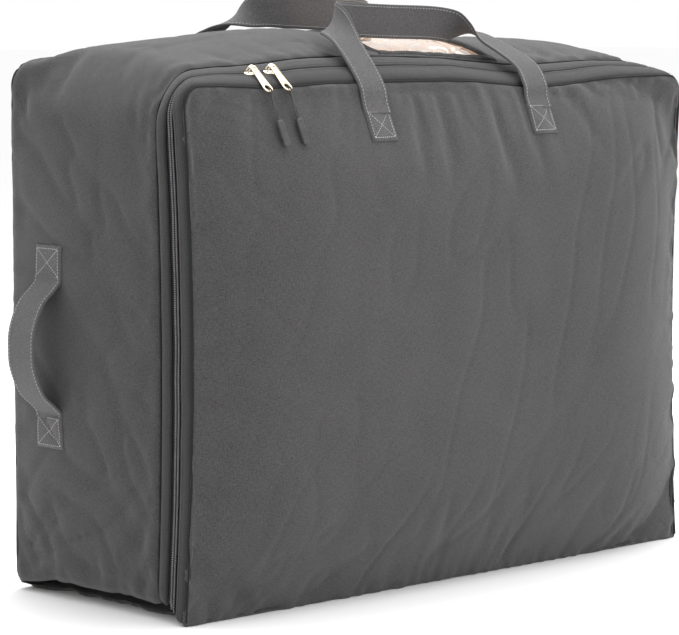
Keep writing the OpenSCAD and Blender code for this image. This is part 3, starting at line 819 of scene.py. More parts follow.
def section_strip(name, points):
    """A long piece from a grid of points (stations x section points), closed round its section."""
    n, k = points.shape[:2]
    ids = np.arange(n * k).reshape(n, k)
    nxt = np.roll(ids, -1, axis=1)
    faces = np.stack([ids[:-1], ids[1:], nxt[1:], nxt[:-1]], -1).reshape(-1, 4).tolist()
    faces += [ids[0].tolist(), ids[-1][::-1].tolist()]
    closed = np.concatenate([points, points[:, :1]], axis=1)
    uv = uv_grid(run_length(points[:, 0]), run_length(closed[n // 2])[:-1])
    return make_object(name, points.reshape(-1, 3), faces, uv)


def on_top(u):
    """1 over the top of the bag, 0 on its sides, easing between them at the corners."""
    rise = smoothstep((u - (U_TOP - 9)) / 10)
    return rise * smoothstep((U_TOP + N_TOP + 9 - u) / 10)


def gap_line(u):
    """Where the two folded strips meet over the top: a slow wave about the coil."""
    p = np.stack([u * 0.0085, 0 * u, 0 * u], -1)
    return BAND / 2 + 1.6 * MM * noise(p, 0.07, 9.0)


def fold_edges(u):
    """Distances behind the front edge of the two strips' folded edges."""
    top = on_top(u)
    meet = gap_line(u)
    front = 13.2 * MM * (1 - top) + (meet - 1.2 * MM) * top
    rear = 28.8 * MM * (1 - top) + (meet + 1.2 * MM) * top
    return front, rear


def zip_strip(name, ring, seam_d, edges, us):
    """One folded cloth strip from its seam to its free edge, standing proud of the band."""
    t = np.concatenate([np.linspace(0.03, 1, 9), [1.03, 1.03], np.linspace(1, 0.03, 6)])
    outer = np.array([-1.2, 0.6, 1.5, 1.9, 2.0, 2.0, 1.9, 1.8, 1.6])
    inner = np.array([-1.0, -1.2, -1.4, -1.6, -1.8, -2.4])
    off = np.concatenate([outer, [1.0, -0.4], inner]) * MM
    d = seam_d + (edges - seam_d)[:, None] * t[None]
    puff = 0.35 * MM * noise(np.stack([us * 0.0085, 0 * us, 0 * us], -1), 0.018, 10.0)
    lift = off[None] + puff[:, None] * (off > 0)[None]
    points = ring.at(us[:, None] + 0 * d, v_at(d), lift)
    if edges[0] > seam_d:
        points = points[:, ::-1]
    return section_strip(name, points[:, ::-1])


def line_on(surface, u, v, off):
    """Points on the folded cloth and their outward directions."""
    p, _, _, out = surface.frame_at(u, v, off)
    return p, out


def stations(p, out, pitch, back, ahead):
    """Even places on a line of points: centres and unit directions along, across and out."""
    run = run_length(p)
    places = np.arange(pitch / 2, run[-1], pitch)

    def read(values, at):
        return np.stack([np.interp(at, run, values[:, k]) for k in range(3)], -1)
    normal = unit(read(out, places))
    along = unit(read(p, places + ahead) - read(p, places - back))
    return read(p, places), along, unit(np.cross(normal, along)), normal


def stitches(p, out, pitch=3.3 * MM, length=2.3 * MM, width=0.55 * MM, height=0.5 * MM):
    """Thread stitches along a dense line of points with outward directions."""
    centre, along, across, normal = stations(p, out, pitch, 0.4 * MM, 0.4 * MM)
    return capsules(centre, along, across, normal, length, width, height, rings=4, sides=6)


def coil_row(ring, d, off, us, wide, pitch=2.1 * MM):
    """One row of zip coil: small loops side by side, each lying across the row."""
    p, out = line_on(ring, us, v_at(d) + 0 * us, off)
    centre, along, across, normal = stations(p, out, pitch, 0, MM)
    return capsules(centre, across, along, normal, wide, pitch * 0.72, 1.5 * MM, 4, 6)


def ribbon(name, ring, d0, d1, off, thick, us, rows=4):
    ds = np.linspace(d0, d1, rows)[None]
    u = us[:, None]
    return slab(name, ring.at(u, v_at(ds), off + 0 * u), ring.at(u, v_at(ds), off - thick + 0 * u))


# Distances behind the front edge: the seams, the tapes' edges and the two rows of coil
SEAM_IN = 0.4 * MM
LID_TAPE, REAR_TAPE = (9 * MM, 18.6 * MM), (23.4 * MM, 33 * MM)
LID_COIL, REAR_COIL = 19.1 * MM, 22.9 * MM
COIL_WIDE = 3.0 * MM


def build_zip(ring, mats):
    us = np.linspace(1.2, U_RIGHT_END - 1.2, 620)
    front_edge, rear_edge = fold_edges(us)
    # the strips wear darker copies of the canvas: painted shade in the band, darkest on the lid's
    # strip as painted shadow
    halves = (
        ("lid", "lid", "front", mats["lid_strip_in_shadow"], SEAM_IN, front_edge, -1, LID_TAPE, LID_COIL),
        ("rear", "bag", "rear", mats["strip"], BAND - SEAM_IN, rear_edge, 1, REAR_TAPE,
         REAR_COIL))
    for word, body, node, cloth, seam, fold, away, tape, coil in halves:
        finish_piece(zip_strip(word + "_zip_fold", ring, seam, fold, us), cloth, body, "canvas",
                     node + "_zip_strip")
        finish_piece(ribbon(word + "_zip_tape_cloth", ring, *tape, -2.6 * MM, 0.7 * MM, us[::2]),
                     mats["tape"], body, "zip_tape", node + "_zip_tape")
        finish_piece(joined_object(word + "_coil_teeth",
                                   [coil_row(ring, coil, -0.2 * MM, us, COIL_WIDE)]),
                     mats["coil"], body, "coil", node + "_zip_coil")
        # thread: a row beside the strip's seam, and one beside its fold
        beside_seam = (3.0 * MM if away < 0 else BAND - 3.0 * MM) + 0 * us
        rows = ((beside_seam, 1.7 * MM), (fold + away * 2.6 * MM, 2.15 * MM))
        stitched_object(body + "_strip_stitching",
                        [stitches(*line_on(ring, us, v_at(d), off)) for d, off in rows],
                        mats["thread_dark"], body)


def piping(ring, d, off, radius, us):
    """A thin near-black cord laid along a seam of the band, half sunk in it: painted shade of the
    seam.
    """
    return tube(line_on(ring, us, v_at(d) + 0 * us, off)[0], radius, 6)


def build_bindings(ring, mats):
    us = np.linspace(1.4, U_RIGHT_END - 1.4, 420)
    # near-black lines along the band's two seams: painted shade
    for name, body, d in (("lid_seam_piping", "lid", 0.1 * MM), ("band_seam_piping", "bag", BAND)):
        finish_piece(joined_object(name, [piping(ring, d, -0.5 * MM, 1.0 * MM, us)]),
                     mats["piping"], body, "seam_binding")
    # the two bound seam allowances lie inside, and show only at the bottom of their grooves
    for name, body, node, d_in, d_out in (
            ("lid_seam_tape", "lid", "front_seam_binding", 1.2 * MM, 8.5 * MM),
            ("rear_seam_tape", "bag", "back_seam_binding", DEPTH - 1.2 * MM, DEPTH - 8.5 * MM)):
        d = np.array([d_in, (d_in * 2 + d_out) / 3, (d_in + d_out * 2) / 3, d_out,
                      d_out, (d_in + d_out) / 2, d_in])
        off = np.array([-2.3, -3.1, -3.3, -3.4, -5.0, -5.1, -4.6]) * MM
        points = ring.at(us[:, None] + 0 * d[None], v_at(d)[None] + 0 * us[:, None],
                         off[None] + 0 * us[:, None])
        if d_out > d_in:
            points = points[:, ::-1]
        finish_piece(section_strip(name, points[:, ::-1]), mats["binding"], body,
                     "seam_binding", node)


def build_window(ring, mats):
    w0, w1 = window_places()
    per_u = N_TOP / (2 * HALF_W)
    hem = 6 * MM
    us = np.linspace(w0 - hem * per_u, w1 + hem * per_u, 90)[:, None]
    ds = np.linspace(WIN_D[0] - hem, WIN_D[1] + hem, 70)[None]
    p = ring.point(us + 0 * ds, v_at(ds) + 0 * us)
    e = np.minimum(np.minimum(us - us[0], us[-1] - us) / per_u,
                   np.minimum(ds - ds[0, 0], ds[0, -1] - ds))
    ripple = smoothstep((e - hem) / (14 * MM)) * (
        1.3 * MM * noise(p, 0.05, 11.0) - 2.4 * MM * creases(p, (1.0, 0.5, 0), 17 * MM, 0.07, 8.0)
        - 1.6 * MM * creases(p, (0.4, 1.0, 0), 15 * MM, 0.06, 9.0))
    off = -CLOTH - 0.3 * MM + ripple
    film = slab("clear_window", ring.at(us, v_at(ds), off), ring.at(us, v_at(ds), off - 0.4 * MM))
    finish_piece(film, mats["film"], "bag", "film", "window_film")
    # binding: a folded tape round the opening, with two rows of thread
    bu = BIND * per_u
    rim, wide, deep = 7, 60, 46
    us = spread((w0 - bu, rim), (w0, wide), (w1, rim), (w1 + bu, 0))[:, None]
    ds = spread((WIN_D[0] - BIND, rim), (WIN_D[0], deep), (WIN_D[1], rim),
                (WIN_D[1] + BIND, 0))[None]
    mask = np.ones((us.shape[0] - 1, ds.shape[1] - 1), bool)
    mask[rim:rim + wide, rim:rim + deep] = False
    gap_u = np.maximum(np.maximum(w0 - us, us - w1), 0) / per_u
    gap_d = np.maximum(np.maximum(WIN_D[0] - ds, ds - WIN_D[1]), 0)
    gap = np.maximum(gap_u, gap_d) / BIND
    off = 0.2 * MM + 1.5 * MM * np.sqrt(np.clip(1 - np.abs(2 * gap - 1) ** 3, 0, 1))
    tape = slab("window_tape", ring.at(us, v_at(ds), off), ring.at(us, v_at(ds), -0.4 * MM + 0 * off),
                mask)
    finish_piece(tape, mats["binding"], "bag", "seam_binding", "window_binding")
    parts = []
    for out in (2.4 * MM, 7.6 * MM):
        a0, a1 = w0 - out * per_u, w1 + out * per_u
        d0, d1 = WIN_D[0] - out, WIN_D[1] + out
        for ua, ub, da, db in ((a0, a1, d0, d0), (a1, a1, d0, d1), (a1, a0, d1, d1),
                               (a0, a0, d1, d0)):
            u, d = np.linspace(ua, ub, 90), np.linspace(da, db, 90)
            parts.append(stitches(*line_on(ring, u, v_at(d), 1.65 * MM)))
    stitched_object("window_stitching", parts, mats["thread_dark"], "bag")


def build_cloth(ring, front, back, mats):
    finish_piece(panel_piece("lid_cloth", front), mats["canvas"], "lid", "canvas", "front_panel")
    finish_piece(panel_piece("back_cloth", back, cells=(150, 110)), mats["canvas"], "bag",
                 "canvas", "back_panel")
    finish_piece(bottom_piece("base_cloth", ring, 0.0, 2.0 * MM, 6 * MM), mats["canvas"], "bag",
                 "canvas", "bottom_panel")
    finish_piece(gusset_piece("gusset_cloth", ring, BAND, DEPTH, 0.0, CLOTH), mats["gusset"],
                 "bag", "canvas", "side_gusset")
    finish_piece(gusset_piece("gusset_lining_cloth", ring, BAND + 2 * MM, DEPTH - 9 * MM,
                              -CLOTH - 3.5 * MM, LINING, window_grow=9 * MM,
                              steps=(75, 18, 60), rows=(3, 12, 6)),
                 mats["lining"], "bag", "lining", "gusset_lining")
    for name, surface, body, node in (("lid_lining_cloth", front, "lid", "front_lining"),
                                      ("back_lining_cloth", back, "bag", "back_lining")):
        finish_piece(panel_piece(name, surface, inset=1.0, off=-CLOTH - 1.2 * MM, thick=LINING,
                                 cells=(90, 66)), mats["lining"], body, "lining", node)
    # the fold along the bottom front edge: half goes with the lid, half stays
    ang = np.linspace(0, 2 * math.pi, 16, endpoint=False)
    xs = np.linspace(-HALF_W + 4 * MM, HALF_W - 4 * MM, 120)
    squeeze = 1 + 0.08 * noise(np.stack([xs, 0 * xs, 0 * xs], -1), 0.02, 12.0)
    y = FRONT_Y + 2.6 * MM + 2.4 * MM * np.cos(ang)[None] * squeeze[:, None]
    z = 2.7 * MM + 2.2 * MM * np.sin(ang)[None] * squeeze[:, None]
    points = np.stack(np.broadcast_arrays(xs[:, None], y, z), -1)
    hinge = section_strip("bottom_hinge_fold", points)
    # its darker strip canvas is painted shade along the bottom edge
    dress(hinge, mats["strip"], "seam_binding", "hinge_fold")
    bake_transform(hinge)


# ---- Webbing handles ------------------------------------------------------------------

STRAP_W, STRAP_T = 34 * MM, 2.6 * MM
SIDE_W, SIDE_L, SIDE_BOW, SIDE_Z = 40 * MM, 196 * MM, 34 * MM, 246 * MM
LEGS = (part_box("front_handle_ends")[0][0] + STRAP_W / 2,
        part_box("front_handle_ends")[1][0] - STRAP_W / 2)
END_H = 33 * MM


def curve_through(points, per=8):
    p = np.asarray(points, float)
    out = []
    for i in range(len(p) - 1):
        a, b, c, d = p[max(i - 1, 0)], p[i], p[i + 1], p[min(i + 2, len(p) - 1)]
        for t in np.arange(per) / per:
            out.append(np.array([a, b, c, d]).T @ cubic(np.array(t)))
    return np.array(out + [p[-1]])


def strap_piece(name, path, wide, width, thick=STRAP_T):
    """Flat webbing along a path: (object, stitch parts)."""
    tangent = unit(np.gradient(path, axis=0))
    side = unit(wide - (wide * tangent).sum(-1, keepdims=True) * tangent)
    normal = unit(np.cross(side, tangent))
    half = width / 2
    across = np.array([-1, -0.985, -0.93, -0.86, -0.5, 0, 0.5, 0.86, 0.93, 0.985, 1])
    rise = np.array([0.25, 0.75, 1.0, 0.92, 1.0, 1.02, 1.0, 0.92, 1.0, 0.75, 0.25])
    a = np.concatenate([across, across[::-1]]) * half
    b = np.concatenate([rise, -rise[::-1]]) * thick / 2
    curl = 0.5 * MM * noise(path, 0.03, 13.0)
    points = (path[:, None] + side[:, None] * a[None, :, None]
              + normal[:, None] * (b[None, :] + curl[:, None] * (a[None] / half) ** 2)[..., None])
    piece = section_strip(name, points)
    parts = []
    for face in (1, -1):
        for edge in (-1, 1):
            line = path + side * edge * (half - 2.8 * MM) + normal * face * (
                thick / 2 * 0.95 + 0.12 * MM)
            parts.append(stitches(line, normal * face, 3.6 * MM, 2.6 * MM, 0.8 * MM, 0.6 * MM))
    return piece, parts


def top_handle_path(front, back, is_front):
    """The route of a top handle: up from its sewn ends, over the edge, in to the ridge."""
    surface, sign = (front, -1) if is_front else (back, 1)
    lift = (0 if is_front else 8) * MM
    end_top = (HEIGHT if is_front else BACK_HEIGHT) - 23 * MM
    top = HEIGHT + 36 * MM + lift
    brow = end_top + 41 * MM + lift * 0.2
    left, right = LEGS

    def against(x, z, off):
        u, v = surface.find(np.array(x), np.array(z))
        p = surface.at(u, v, off)
        return [x, p[1], z]

    def at(x, y, z):
        return [x, sign * y * MM, z]

    hug = STRAP_T / 2 + 0.4 * MM
    points = [
        against(left, end_top - 4 * MM, hug), against(left, end_top + 7 * MM, hug + 0.6 * MM),
        at(left, 132.9, end_top + 21 * MM), at(left, 118.5, brow),
        at(left + 1 * MM, 95, top + 6 * MM + lift * 0.4), at(left + 8 * MM, 72, top + 21 * MM),
        at(left + 24 * MM, 54, top + 27 * MM), at(left + 50 * MM, 48, top + 26 * MM),
        at(left + 100 * MM, 50, top + 24 * MM), at(right - 66 * MM, 56, top + 22 * MM),
        at(right - 36 * MM, 64, top + 16 * MM), at(right - 14 * MM, 80, top + 5 * MM + lift * 0.2),
        at(right, 117, brow), at(right, 132.9, end_top + 21 * MM),
        against(right, end_top + 7 * MM, hug + 0.6 * MM), against(right, end_top - 4 * MM, hug)]
    wide = [[1, 0, 0], [1, 0, 0], [1, 0, 0], [1, 0, 0.02], [0.97, 0, 0.15], [0.75, 0, 0.6],
            [0.25, 0, 1], [0, 0, 1], [0, 0, 1], [-0.3, 0, 1], [-0.85, 0, 0.45], [-1, 0, 0.12],
            [-1, 0, 0], [-1, 0, 0], [-1, 0, 0], [-1, 0, 0]]
    return curve_through(points), curve_through(wide), end_top


def patch_on(surface, place, width, height, thick=STRAP_T):
    """A sewn webbing end on a surface. place(a, b) gives grid places for local metres.
    Returns its slab grids and a function for lines of thread on it."""
    a = np.linspace(-1, 1, 15)[:, None] * width / 2
    b = np.linspace(-1, 1, 15)[None] * height / 2
    edge = np.maximum(np.abs(a) / (width / 2), np.abs(b) / (height / 2))
    round_off = thick * (1 - 0.6 * np.clip((edge - 0.86) / 0.14, 0, 1) ** 2)
    u, v = place(a + 0 * b, b + 0 * a)
    outer = surface.at(u, v, round_off)
    inner = surface.at(u, v, -0.3 * MM + 0 * round_off)

    def thread(points):
        p = np.asarray(points)
        u, v = place(p[:, 0], p[:, 1])
        return line_on(surface, u, v, thick + 0.05 * MM)
    return outer, inner, thread


def box_cross(thread, width, height):
    """A sewn box with a cross inside it, as thread."""
    w, h = width / 2 - 3.2 * MM, height / 2 - 3.2 * MM
    corners = [(-w, -h), (w, -h), (w, h), (-w, h)]
    runs = [(corners[k], corners[(k + 1) % 4]) for k in range(4)]
    runs += [(corners[0], corners[2]), (corners[1], corners[3])]
    parts = []
    for start, end in runs:
        t = np.linspace(0, 1, 30)[:, None]
        line = np.array(start) * (1 - t) + np.array(end) * t
        parts.append(stitches(*thread(line), 3.0 * MM, 2.2 * MM, 0.9 * MM, 0.7 * MM))
    return parts


def merged_slabs(name, pairs):
    """Several small slabs as one object."""
    objects = [slab(name + str(k), outer, inner) for k, (outer, inner) in enumerate(pairs)]
    verts, faces, uvs, count = [], [], [], 0
    for piece in objects:
        mesh = piece.data
        v = np.array([tuple(x.co) for x in mesh.vertices])
        uv = np.zeros((len(v), 2))
        layer = mesh.uv_layers[0].data
        for poly in mesh.polygons:
            for loop in poly.loop_indices:
                uv[mesh.loops[loop].vertex_index] = layer[loop].uv
            faces.append([i + count for i in poly.vertices])
        verts.append(v)
        uvs.append(uv)
        count += len(v)
    for piece in objects:
        bpy.data.objects.remove(piece)
    return make_object(name, np.concatenate(verts), faces, np.concatenate(uvs))


def build_top_handle(front, back, mats, is_front):
    word = "front" if is_front else "back"
    surface, body = (front, "lid") if is_front else (back, "bag")
    path, wide, end_top = top_handle_path(front, back, is_front)
    upright = 0.9 if is_front else 1.0
    mid = end_top - END_H / 2 * upright
    slabs, thread_parts = [], []
    for x in LEGS:
        def place(a, b, x=x):
            return surface.find(x + a, mid + b * upright)
        outer, inner, thread = patch_on(surface, place, STRAP_W, END_H)
        slabs.append((outer, inner))
        thread_parts += box_cross(thread, STRAP_W, END_H)
    finish_piece(merged_slabs(word + "_webbing_ends", slabs), mats["webbing"], body, "webbing",
                 word + "_handle_ends")
    stitched_object(word + "_end_stitches", thread_parts, mats["thread"], body,
                    word + "_handle_stitching")
    loop, parts = strap_piece(word + "_webbing_loop", path, wide, STRAP_W)
    dress(loop, mats["webbing"], "webbing", word + "_handle")
    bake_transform(loop)
    edges = joined_object(word + "_loop_stitches", parts)
    dress(edges, mats["thread"], "thread")
    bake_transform(edges)


def build_side_handle(ring, mats, word):
    sign = -1 if word == "left" else 1
    d_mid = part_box(word + "_handle_ends")[0][1] - FRONT_Y + 20 * MM
    z_mid, length, bow = SIDE_Z, SIDE_L, SIDE_BOW
    half = length / 2 - END_H
    slabs, thread_parts = [], []

    def side_u(z, d):
        u = u_left(z, d)
        return u if sign < 0 else U_RIGHT_END - u

    for s in (-1, 1):
        centre = z_mid + s * (length / 2 - END_H / 2)

        def place(a, b, centre=centre):
            d = d_mid + a
            return side_u(centre + b, d), v_at(d)
        outer, inner, thread = patch_on(ring, place, SIDE_W, END_H)
        if sign > 0:
            outer, inner = outer[::-1], inner[::-1]
        slabs.append((outer, inner))
        thread_parts += box_cross(thread, SIDE_W, END_H)
    finish_piece(merged_slabs(word + "_webbing_ends", slabs), mats["webbing"], "bag", "webbing",
                 word + "_handle_ends")
    stitched_object(word + "_end_stitches", thread_parts, mats["thread"], "bag",
                    word + "_handle_stitching")

    def against(z, off):
        p = ring.at(np.array(side_u(z, d_mid)), np.array(v_at(d_mid)), off)
        return abs(p[0])
    y = FRONT_Y + d_mid
    near = against(z_mid + half, STRAP_T / 2 + 0.4 * MM)
    face = against(z_mid, 0.0)
    shape = [(near, half + 4 * MM), (near + 0.6 * MM, half - 2 * MM), (near + 7 * MM, half - 9 * MM),
             (face + bow * 0.62, half * 0.66), (face + bow * 0.92, half * 0.3),
             (face + bow * 0.97, 0)]
    shape = shape + [(x, -z) for x, z in shape[-2::-1]]
    path = curve_through([[sign * x, y, z_mid + z] for x, z in shape], 10)
    wide = np.tile([0.0, -float(sign), 0.0], (len(path), 1))
    loop, parts = strap_piece(word + "_webbing_loop", path, wide, SIDE_W)
    finish_piece(loop, mats["webbing"], word + "_strap", "webbing", word + "_handle")
    stitched_object(word + "_loop_stitches", parts, mats["thread"], word + "_strap")


# ---- Zip sliders and pulls ------------------------------------------------------------

def plate(outline, z0, z1, bevel, hole=None, taper=0.0):
    """A flat part with softened edges from an outline (n x 2), with a hole if given."""
    outline = np.asarray(outline, float)
    step = np.roll(outline, -1, axis=0) - np.roll(outline, 1, axis=0)
    small = outline + unit(np.stack([-step[:, 1], step[:, 0]], -1)) * bevel
    rings = [(small, z0), (outline, z0 + bevel), (outline, z1 - bevel), (small, z1)]
    if hole is not None:
        rim = hole + unit(hole - hole.mean(axis=0)) * bevel
        rings += [(rim, z1), (hole, z1 - bevel), (hole, z0 + bevel), (rim, z0)]
    else:
        centre = outline.mean(axis=0)
        tip = centre + (outline - centre) * 0.02
        rings += [(tip, z1 + taper), (tip, z0)]
    verts = np.concatenate([np.column_stack([loop, np.full(len(outline), z)])
                            for loop, z in rings])
    count = len(rings)
    around = steps(count) + [(count - 1, 0)]
    if hole is None:
        around.remove((count - 2, count - 1))
    return verts, np.array(band_quads(around, len(outline)))


def superellipse(a, b, n, power):
    t = np.linspace(0, 2 * math.pi, n, endpoint=False)
    c, s = np.cos(t), np.sin(t)
    return np.stack([a * np.sign(c) * np.abs(c) ** (2 / power),
                     b * np.sign(s) * np.abs(s) ** (2 / power)], -1)


def tube(path, radius, sides=10, closed=False):
    """A round bar along a path, as quads, its ends narrowed shut."""
    path = np.asarray(path, float)
    n = len(path)
    if closed:
        tangent = unit(np.roll(path, -1, axis=0) - np.roll(path, 1, axis=0))
    else:
        tangent = unit(np.gradient(path, axis=0))
    helper = np.array([1.0, 0.0, 0.0])
    if abs(tangent[:, 0]).max() > 0.97:
        helper = np.array([0.0, 0.31, 0.95])
    a = unit(np.cross(tangent, helper))
    b = unit(np.cross(tangent, a))
    radius = np.full(n, radius) if np.isscalar(radius) else np.asarray(radius)
    if not closed:
        radius = radius.copy()
        radius[0] *= 0.15
        radius[-1] *= 0.15
    t = np.linspace(0, 2 * math.pi, sides, endpoint=False)
    verts = (path[:, None] + radius[:, None, None] * (
        np.cos(t)[None, :, None] * a[:, None] + np.sin(t)[None, :, None] * b[:, None]))
    pairs = steps(n) + ([(n - 1, 0)] if closed else [])
    return verts.reshape(-1, 3), np.array(band_quads(pairs, sides, flip=True))


def placed(part, matrix, origin):
    verts, faces = part
    return verts @ np.asarray(matrix).T + np.asarray(origin), faces


def turn_x(degrees):
    c, s = math.cos(math.radians(degrees)), math.sin(math.radians(degrees))
    return np.array([[1, 0, 0], [0, c, -s], [0, s, c]])


def turn_y(degrees):
    c, s = math.cos(math.radians(degrees)), math.sin(math.radians(degrees))
    return np.array([[c, 0, s], [0, 1, 0], [-s, 0, c]])


def smooth_piece(name, parts, levels):
    """The parts as one object, with its edges softened by some levels of subdivision."""
    piece = joined_object(name, parts)
    if levels:
        sub = piece.modifiers.new("soft", "SUBSURF")
        sub.levels = sub.render_levels = levels
    return piece


PIVOT_UP = 9 * MM
TAB_L, TAB_W, HOLE_R = 34 * MM, 11 * MM, 3.2 * MM
CORD_L = 28 * MM
PULL_LEAN, PULL_OUT = 8, 18


def slider_parts():
    """Two plates, the wedge between them, a bridge for the tab and a knurled crown."""
    body = superellipse(7.0 * MM, 4.6 * MM, 28, 3.0)
    body[:, 1] *= 1 - 0.18 * (body[:, 0] > 3 * MM)
    t = np.linspace(0, math.pi, 15)
    bridge = [tube(np.stack([5.2 * MM * np.cos(t), s * 1.7 * MM + 0 * t,
                             1.8 * MM + (PIVOT_UP - 1.2 * MM) * np.sin(t)], -1), 0.75 * MM, 8)
              for s in (-1, 1)]
    knobs = [tube(np.array([[x, -2.3, z], [x, -1.0, z + 0.5], [x, 1.0, z + 0.5], [x, 2.3, z]]) * MM,
                  0.8 * MM, 8)
             for x, z in ((-3.8, 7.8), (-2.0, 8.9), (0.0, 9.3), (2.0, 8.9), (3.8, 7.8))]
    return [plate(body, 0.9 * MM, 2.3 * MM, 0.35 * MM, taper=0.15 * MM),
            plate(body, -7.0 * MM, -5.8 * MM, 0.3 * MM),
            plate(superellipse(1.5 * MM, 1.0 * MM, 12, 2.0), -6.5 * MM, 1.6 * MM, 0.15 * MM),
            *bridge, *knobs]


def tab_reach(c, s, reach):
    """How far the tab's outline lies from its hole in the direction (c, s)."""
    best = TAB_W / 2
    if s > 0:
        for r in np.linspace(TAB_W / 2, reach + MM, 240):
            x, y = abs(r * c), r * s
            half = TAB_W / 2 - (TAB_W / 2 - 3.7 * MM) * min(1, y / (reach - 3 * MM))
            if x <= half and y <= reach + 0.8 * MM:
                best = r
    return best


def tab_parts():
    """A tapered plate with a round end, a large hole with raised rims, and its axle."""
    reach = TAB_L - TAB_W / 2
    theta = np.linspace(0, 2 * math.pi, 48, endpoint=False)
    c, s = np.cos(theta), np.sin(theta)
    radii = np.array([tab_reach(*pair, reach) for pair in zip(c, s)])
    hole = np.stack([HOLE_R * c, HOLE_R * s - reach], -1)
    rim_r = HOLE_R + 0.9 * MM
    rims = [tube(np.stack([rim_r * c, rim_r * s - reach, 0 * c + side * 0.75 * MM], -1),
                 0.35 * MM, 6, closed=True) for side in (1, -1)]
    axle = tube(np.array([[x, 0, 0] for x in (-2.5, -2.2, 2.2, 2.5)]) * MM, 1.0 * MM, 10)
    outline = np.stack([radii * c, radii * s - reach], -1)
    return [plate(outline, -0.8 * MM, 0.8 * MM, 0.35 * MM, hole=hole), *rims, axle]


def cord_part():
    """A twisted cord: a loop through the tab's hole, with two strands down into the grip."""
    k = np.linspace(math.radians(-60), math.radians(240), 22)
    head = np.stack([0 * k, 2.8 * MM * np.cos(k), 2.8 * MM * np.sin(k)], -1)
    drop = np.linspace(0, 1, 16)[:, None]
    strands = []
    for s, end in ((-1, head[-1]), (1, head[0])):
        line = end * (1 - drop) + np.array([s * 0.9 * MM, s * 0.5 * MM, -CORD_L - 2 * MM]) * drop
        line[:, 0] += s * 1.3 * MM * np.sin(math.pi * drop[:, 0])
        strands.append(line)
    route = np.concatenate([strands[0][::-1], head[::-1][1:-1], strands[1]])
    twist = 0.5 + 0.5 * np.cos(np.linspace(0, 60 * math.pi, 400))
    fine = np.linspace(0, len(route) - 1, 400)
    route = np.stack([np.interp(fine, np.arange(len(route)), route[:, c]) for c in range(3)], -1)
    return tube(route, 0.82 * MM + 0.12 * MM * twist, 8)


# Down the grip: depth below the cord (mm) and share of the full section
GRIP_SECTIONS = (
    (0, 0.3), (0.8, 0.82), (1.8, 0.95), (3.2, 1), (4.6, 1), (5.4, 0.86), (6.2, 1), (7.6, 1),
    (8.4, 0.86), (9.2, 1), (11, 1), (13, 1), (15, 1), (17, 1), (18, 0.86), (18.8, 1), (20.2, 1),
    (21, 0.86), (21.8, 1), (23.0, 1), (24.4, 0.97), (25.4, 0.8), (26, 0.3))


def grip_part():
    """Moulded rubber with four ribbed grooves, narrowed at both ends."""
    n, count = 24, len(GRIP_SECTIONS)
    verts = np.concatenate([
        np.column_stack([superellipse(4.1 * MM * share, 2.1 * MM * share, n, 4.5),
                         np.full(n, -depth * MM - CORD_L)]) for depth, share in GRIP_SECTIONS])
    faces = band_quads(steps(count), n, flip=True)
    faces += end_quads(0, n, False) + end_quads((count - 1) * n, n, True)
    return verts, np.array(faces)


def build_pull(mats, word):
    pivot = np.array(JOINTS[word + "_tab_lift"]["pos_m"])
    rim = np.array(JOINTS[word + "_tail_swing"]["pos_m"])
    back = FRONT_Y + BAND / 2 - pivot[1]
    down = math.sqrt(PIVOT_UP ** 2 - back ** 2)
    base = pivot + np.array([0, back, -down])
    hang = rim - pivot
    lean = turn_x(math.degrees(math.atan2(back, down)))
    tilt = turn_x(math.degrees(math.atan2(-hang[2], -hang[1])))
    sway = turn_y(-PULL_LEAN) @ turn_x(-PULL_OUT)
    for name, parts, turn, origin, levels, material, body, slot, node in (
            ("_slider_metal", slider_parts(), lean, base, 1, "metal", "_slide", "pull_metal",
             "_slider"),
            ("_tab_metal", tab_parts(), tilt, pivot, 0, "metal", "_tab", "pull_metal",
             "_pull_tab"),
            ("_cord_loop", [cord_part()], sway, rim, 0, "cord", "_tail", "pull_cord",
             "_pull_cord"),
            ("_grip_rubber", [grip_part()], sway, rim, 1, "rubber", "_tail", "rubber",
             "_pull_grip")):
        piece = smooth_piece(word + name, [placed(p, turn, origin) for p in parts], levels)
        finish_piece(piece, mats[material], word + body, slot, word + node)


# ---- Build ----------------------------------------------------------------------------

CANVAS_PITCH = 0.62 * MM


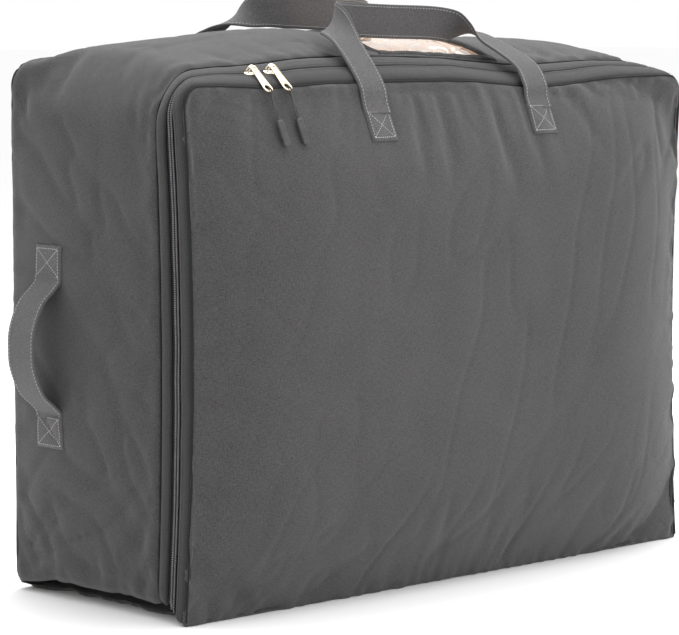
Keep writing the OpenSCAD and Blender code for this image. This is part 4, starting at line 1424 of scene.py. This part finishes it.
def make_materials():
    return {
        "canvas": weave_material("canvas_front", (0.020, 0.0193, 0.020), (0.100, 0.0965, 0.0985),
                                 CANVAS_PITCH),
        # the sides and top: the same canvas a little darker, as painted shade
        "gusset": weave_material("canvas_gusset_shaded", (0.018, 0.0172, 0.018), (0.088, 0.085, 0.087),
                                 CANVAS_PITCH),
        # the rear zip strip and the bottom fold: the same canvas much darker, as painted shade of the
        # band and the fold
        "strip": weave_material("canvas_strip_shaded", (0.010, 0.010, 0.0105), (0.056, 0.054, 0.056),
                                CANVAS_PITCH),
        # the lid's strip: darker still, as painted shadow
        "lid_strip_in_shadow": weave_material("canvas_strip_front_shadowed", (0.009, 0.009, 0.0095),
                                      (0.048, 0.0465, 0.048), CANVAS_PITCH),
        # near-black: painted shade along the band seams
        "piping": solid_material("piping", (0.006, 0.006, 0.007), 0.85, 0.5),
        "binding": weave_material("binding", (0.008, 0.008, 0.009), (0.045, 0.044, 0.047),
                                  0.5 * MM),
        "tape": weave_material("zip_tape", (0.004, 0.004, 0.005), (0.02, 0.02, 0.021), 0.45 * MM),
        "webbing": weave_material("webbing", (0.030, 0.029, 0.030), (0.150, 0.145, 0.148),
                                  0.9 * MM, bump=0.8),
        "lining": weave_material("lining", (0.42, 0.30, 0.20), (0.72, 0.55, 0.42), 0.5 * MM,
                                 bump=0.3),
        "film": film_material(),
        "coil": solid_material("coil", (0.20, 0.20, 0.21), 0.32, 0.2),
        "thread": solid_material("thread_light", (0.40, 0.39, 0.385), 0.7, 0.6),
        "thread_dark": solid_material("thread_dark", (0.035, 0.034, 0.037), 0.7, 0.6),
        "metal": solid_material("pale_gold", (0.86, 0.76, 0.58), 0.30, 0.25, metallic=1.0,
                                grain_scale=400, vary=0.06),
        "rubber": solid_material("rubber", (0.050, 0.050, 0.052), 0.55, 0.5),
        "cord": solid_material("pull_cord", (0.06, 0.058, 0.057), 0.75, 0.9),
    }


make_camera()
make_studio()
mats = make_materials()
ring_s, front_s, back_s = shell_surfaces()
ring = ClothSurface(ring_s.grid, "ring", wraps=True)
front = ClothSurface(front_s.grid, "panel")
back = ClothSurface(back_s.grid, "panel", flip=True)
build_cloth(ring, front, back, mats)
build_zip(ring, mats)
build_bindings(ring, mats)
build_window(ring, mats)
for is_front in (True, False):
    build_top_handle(front, back, mats, is_front)
for word in ("left", "right"):
    build_side_handle(ring, mats, word)
for word in ("left", "right"):
    build_pull(mats, word)
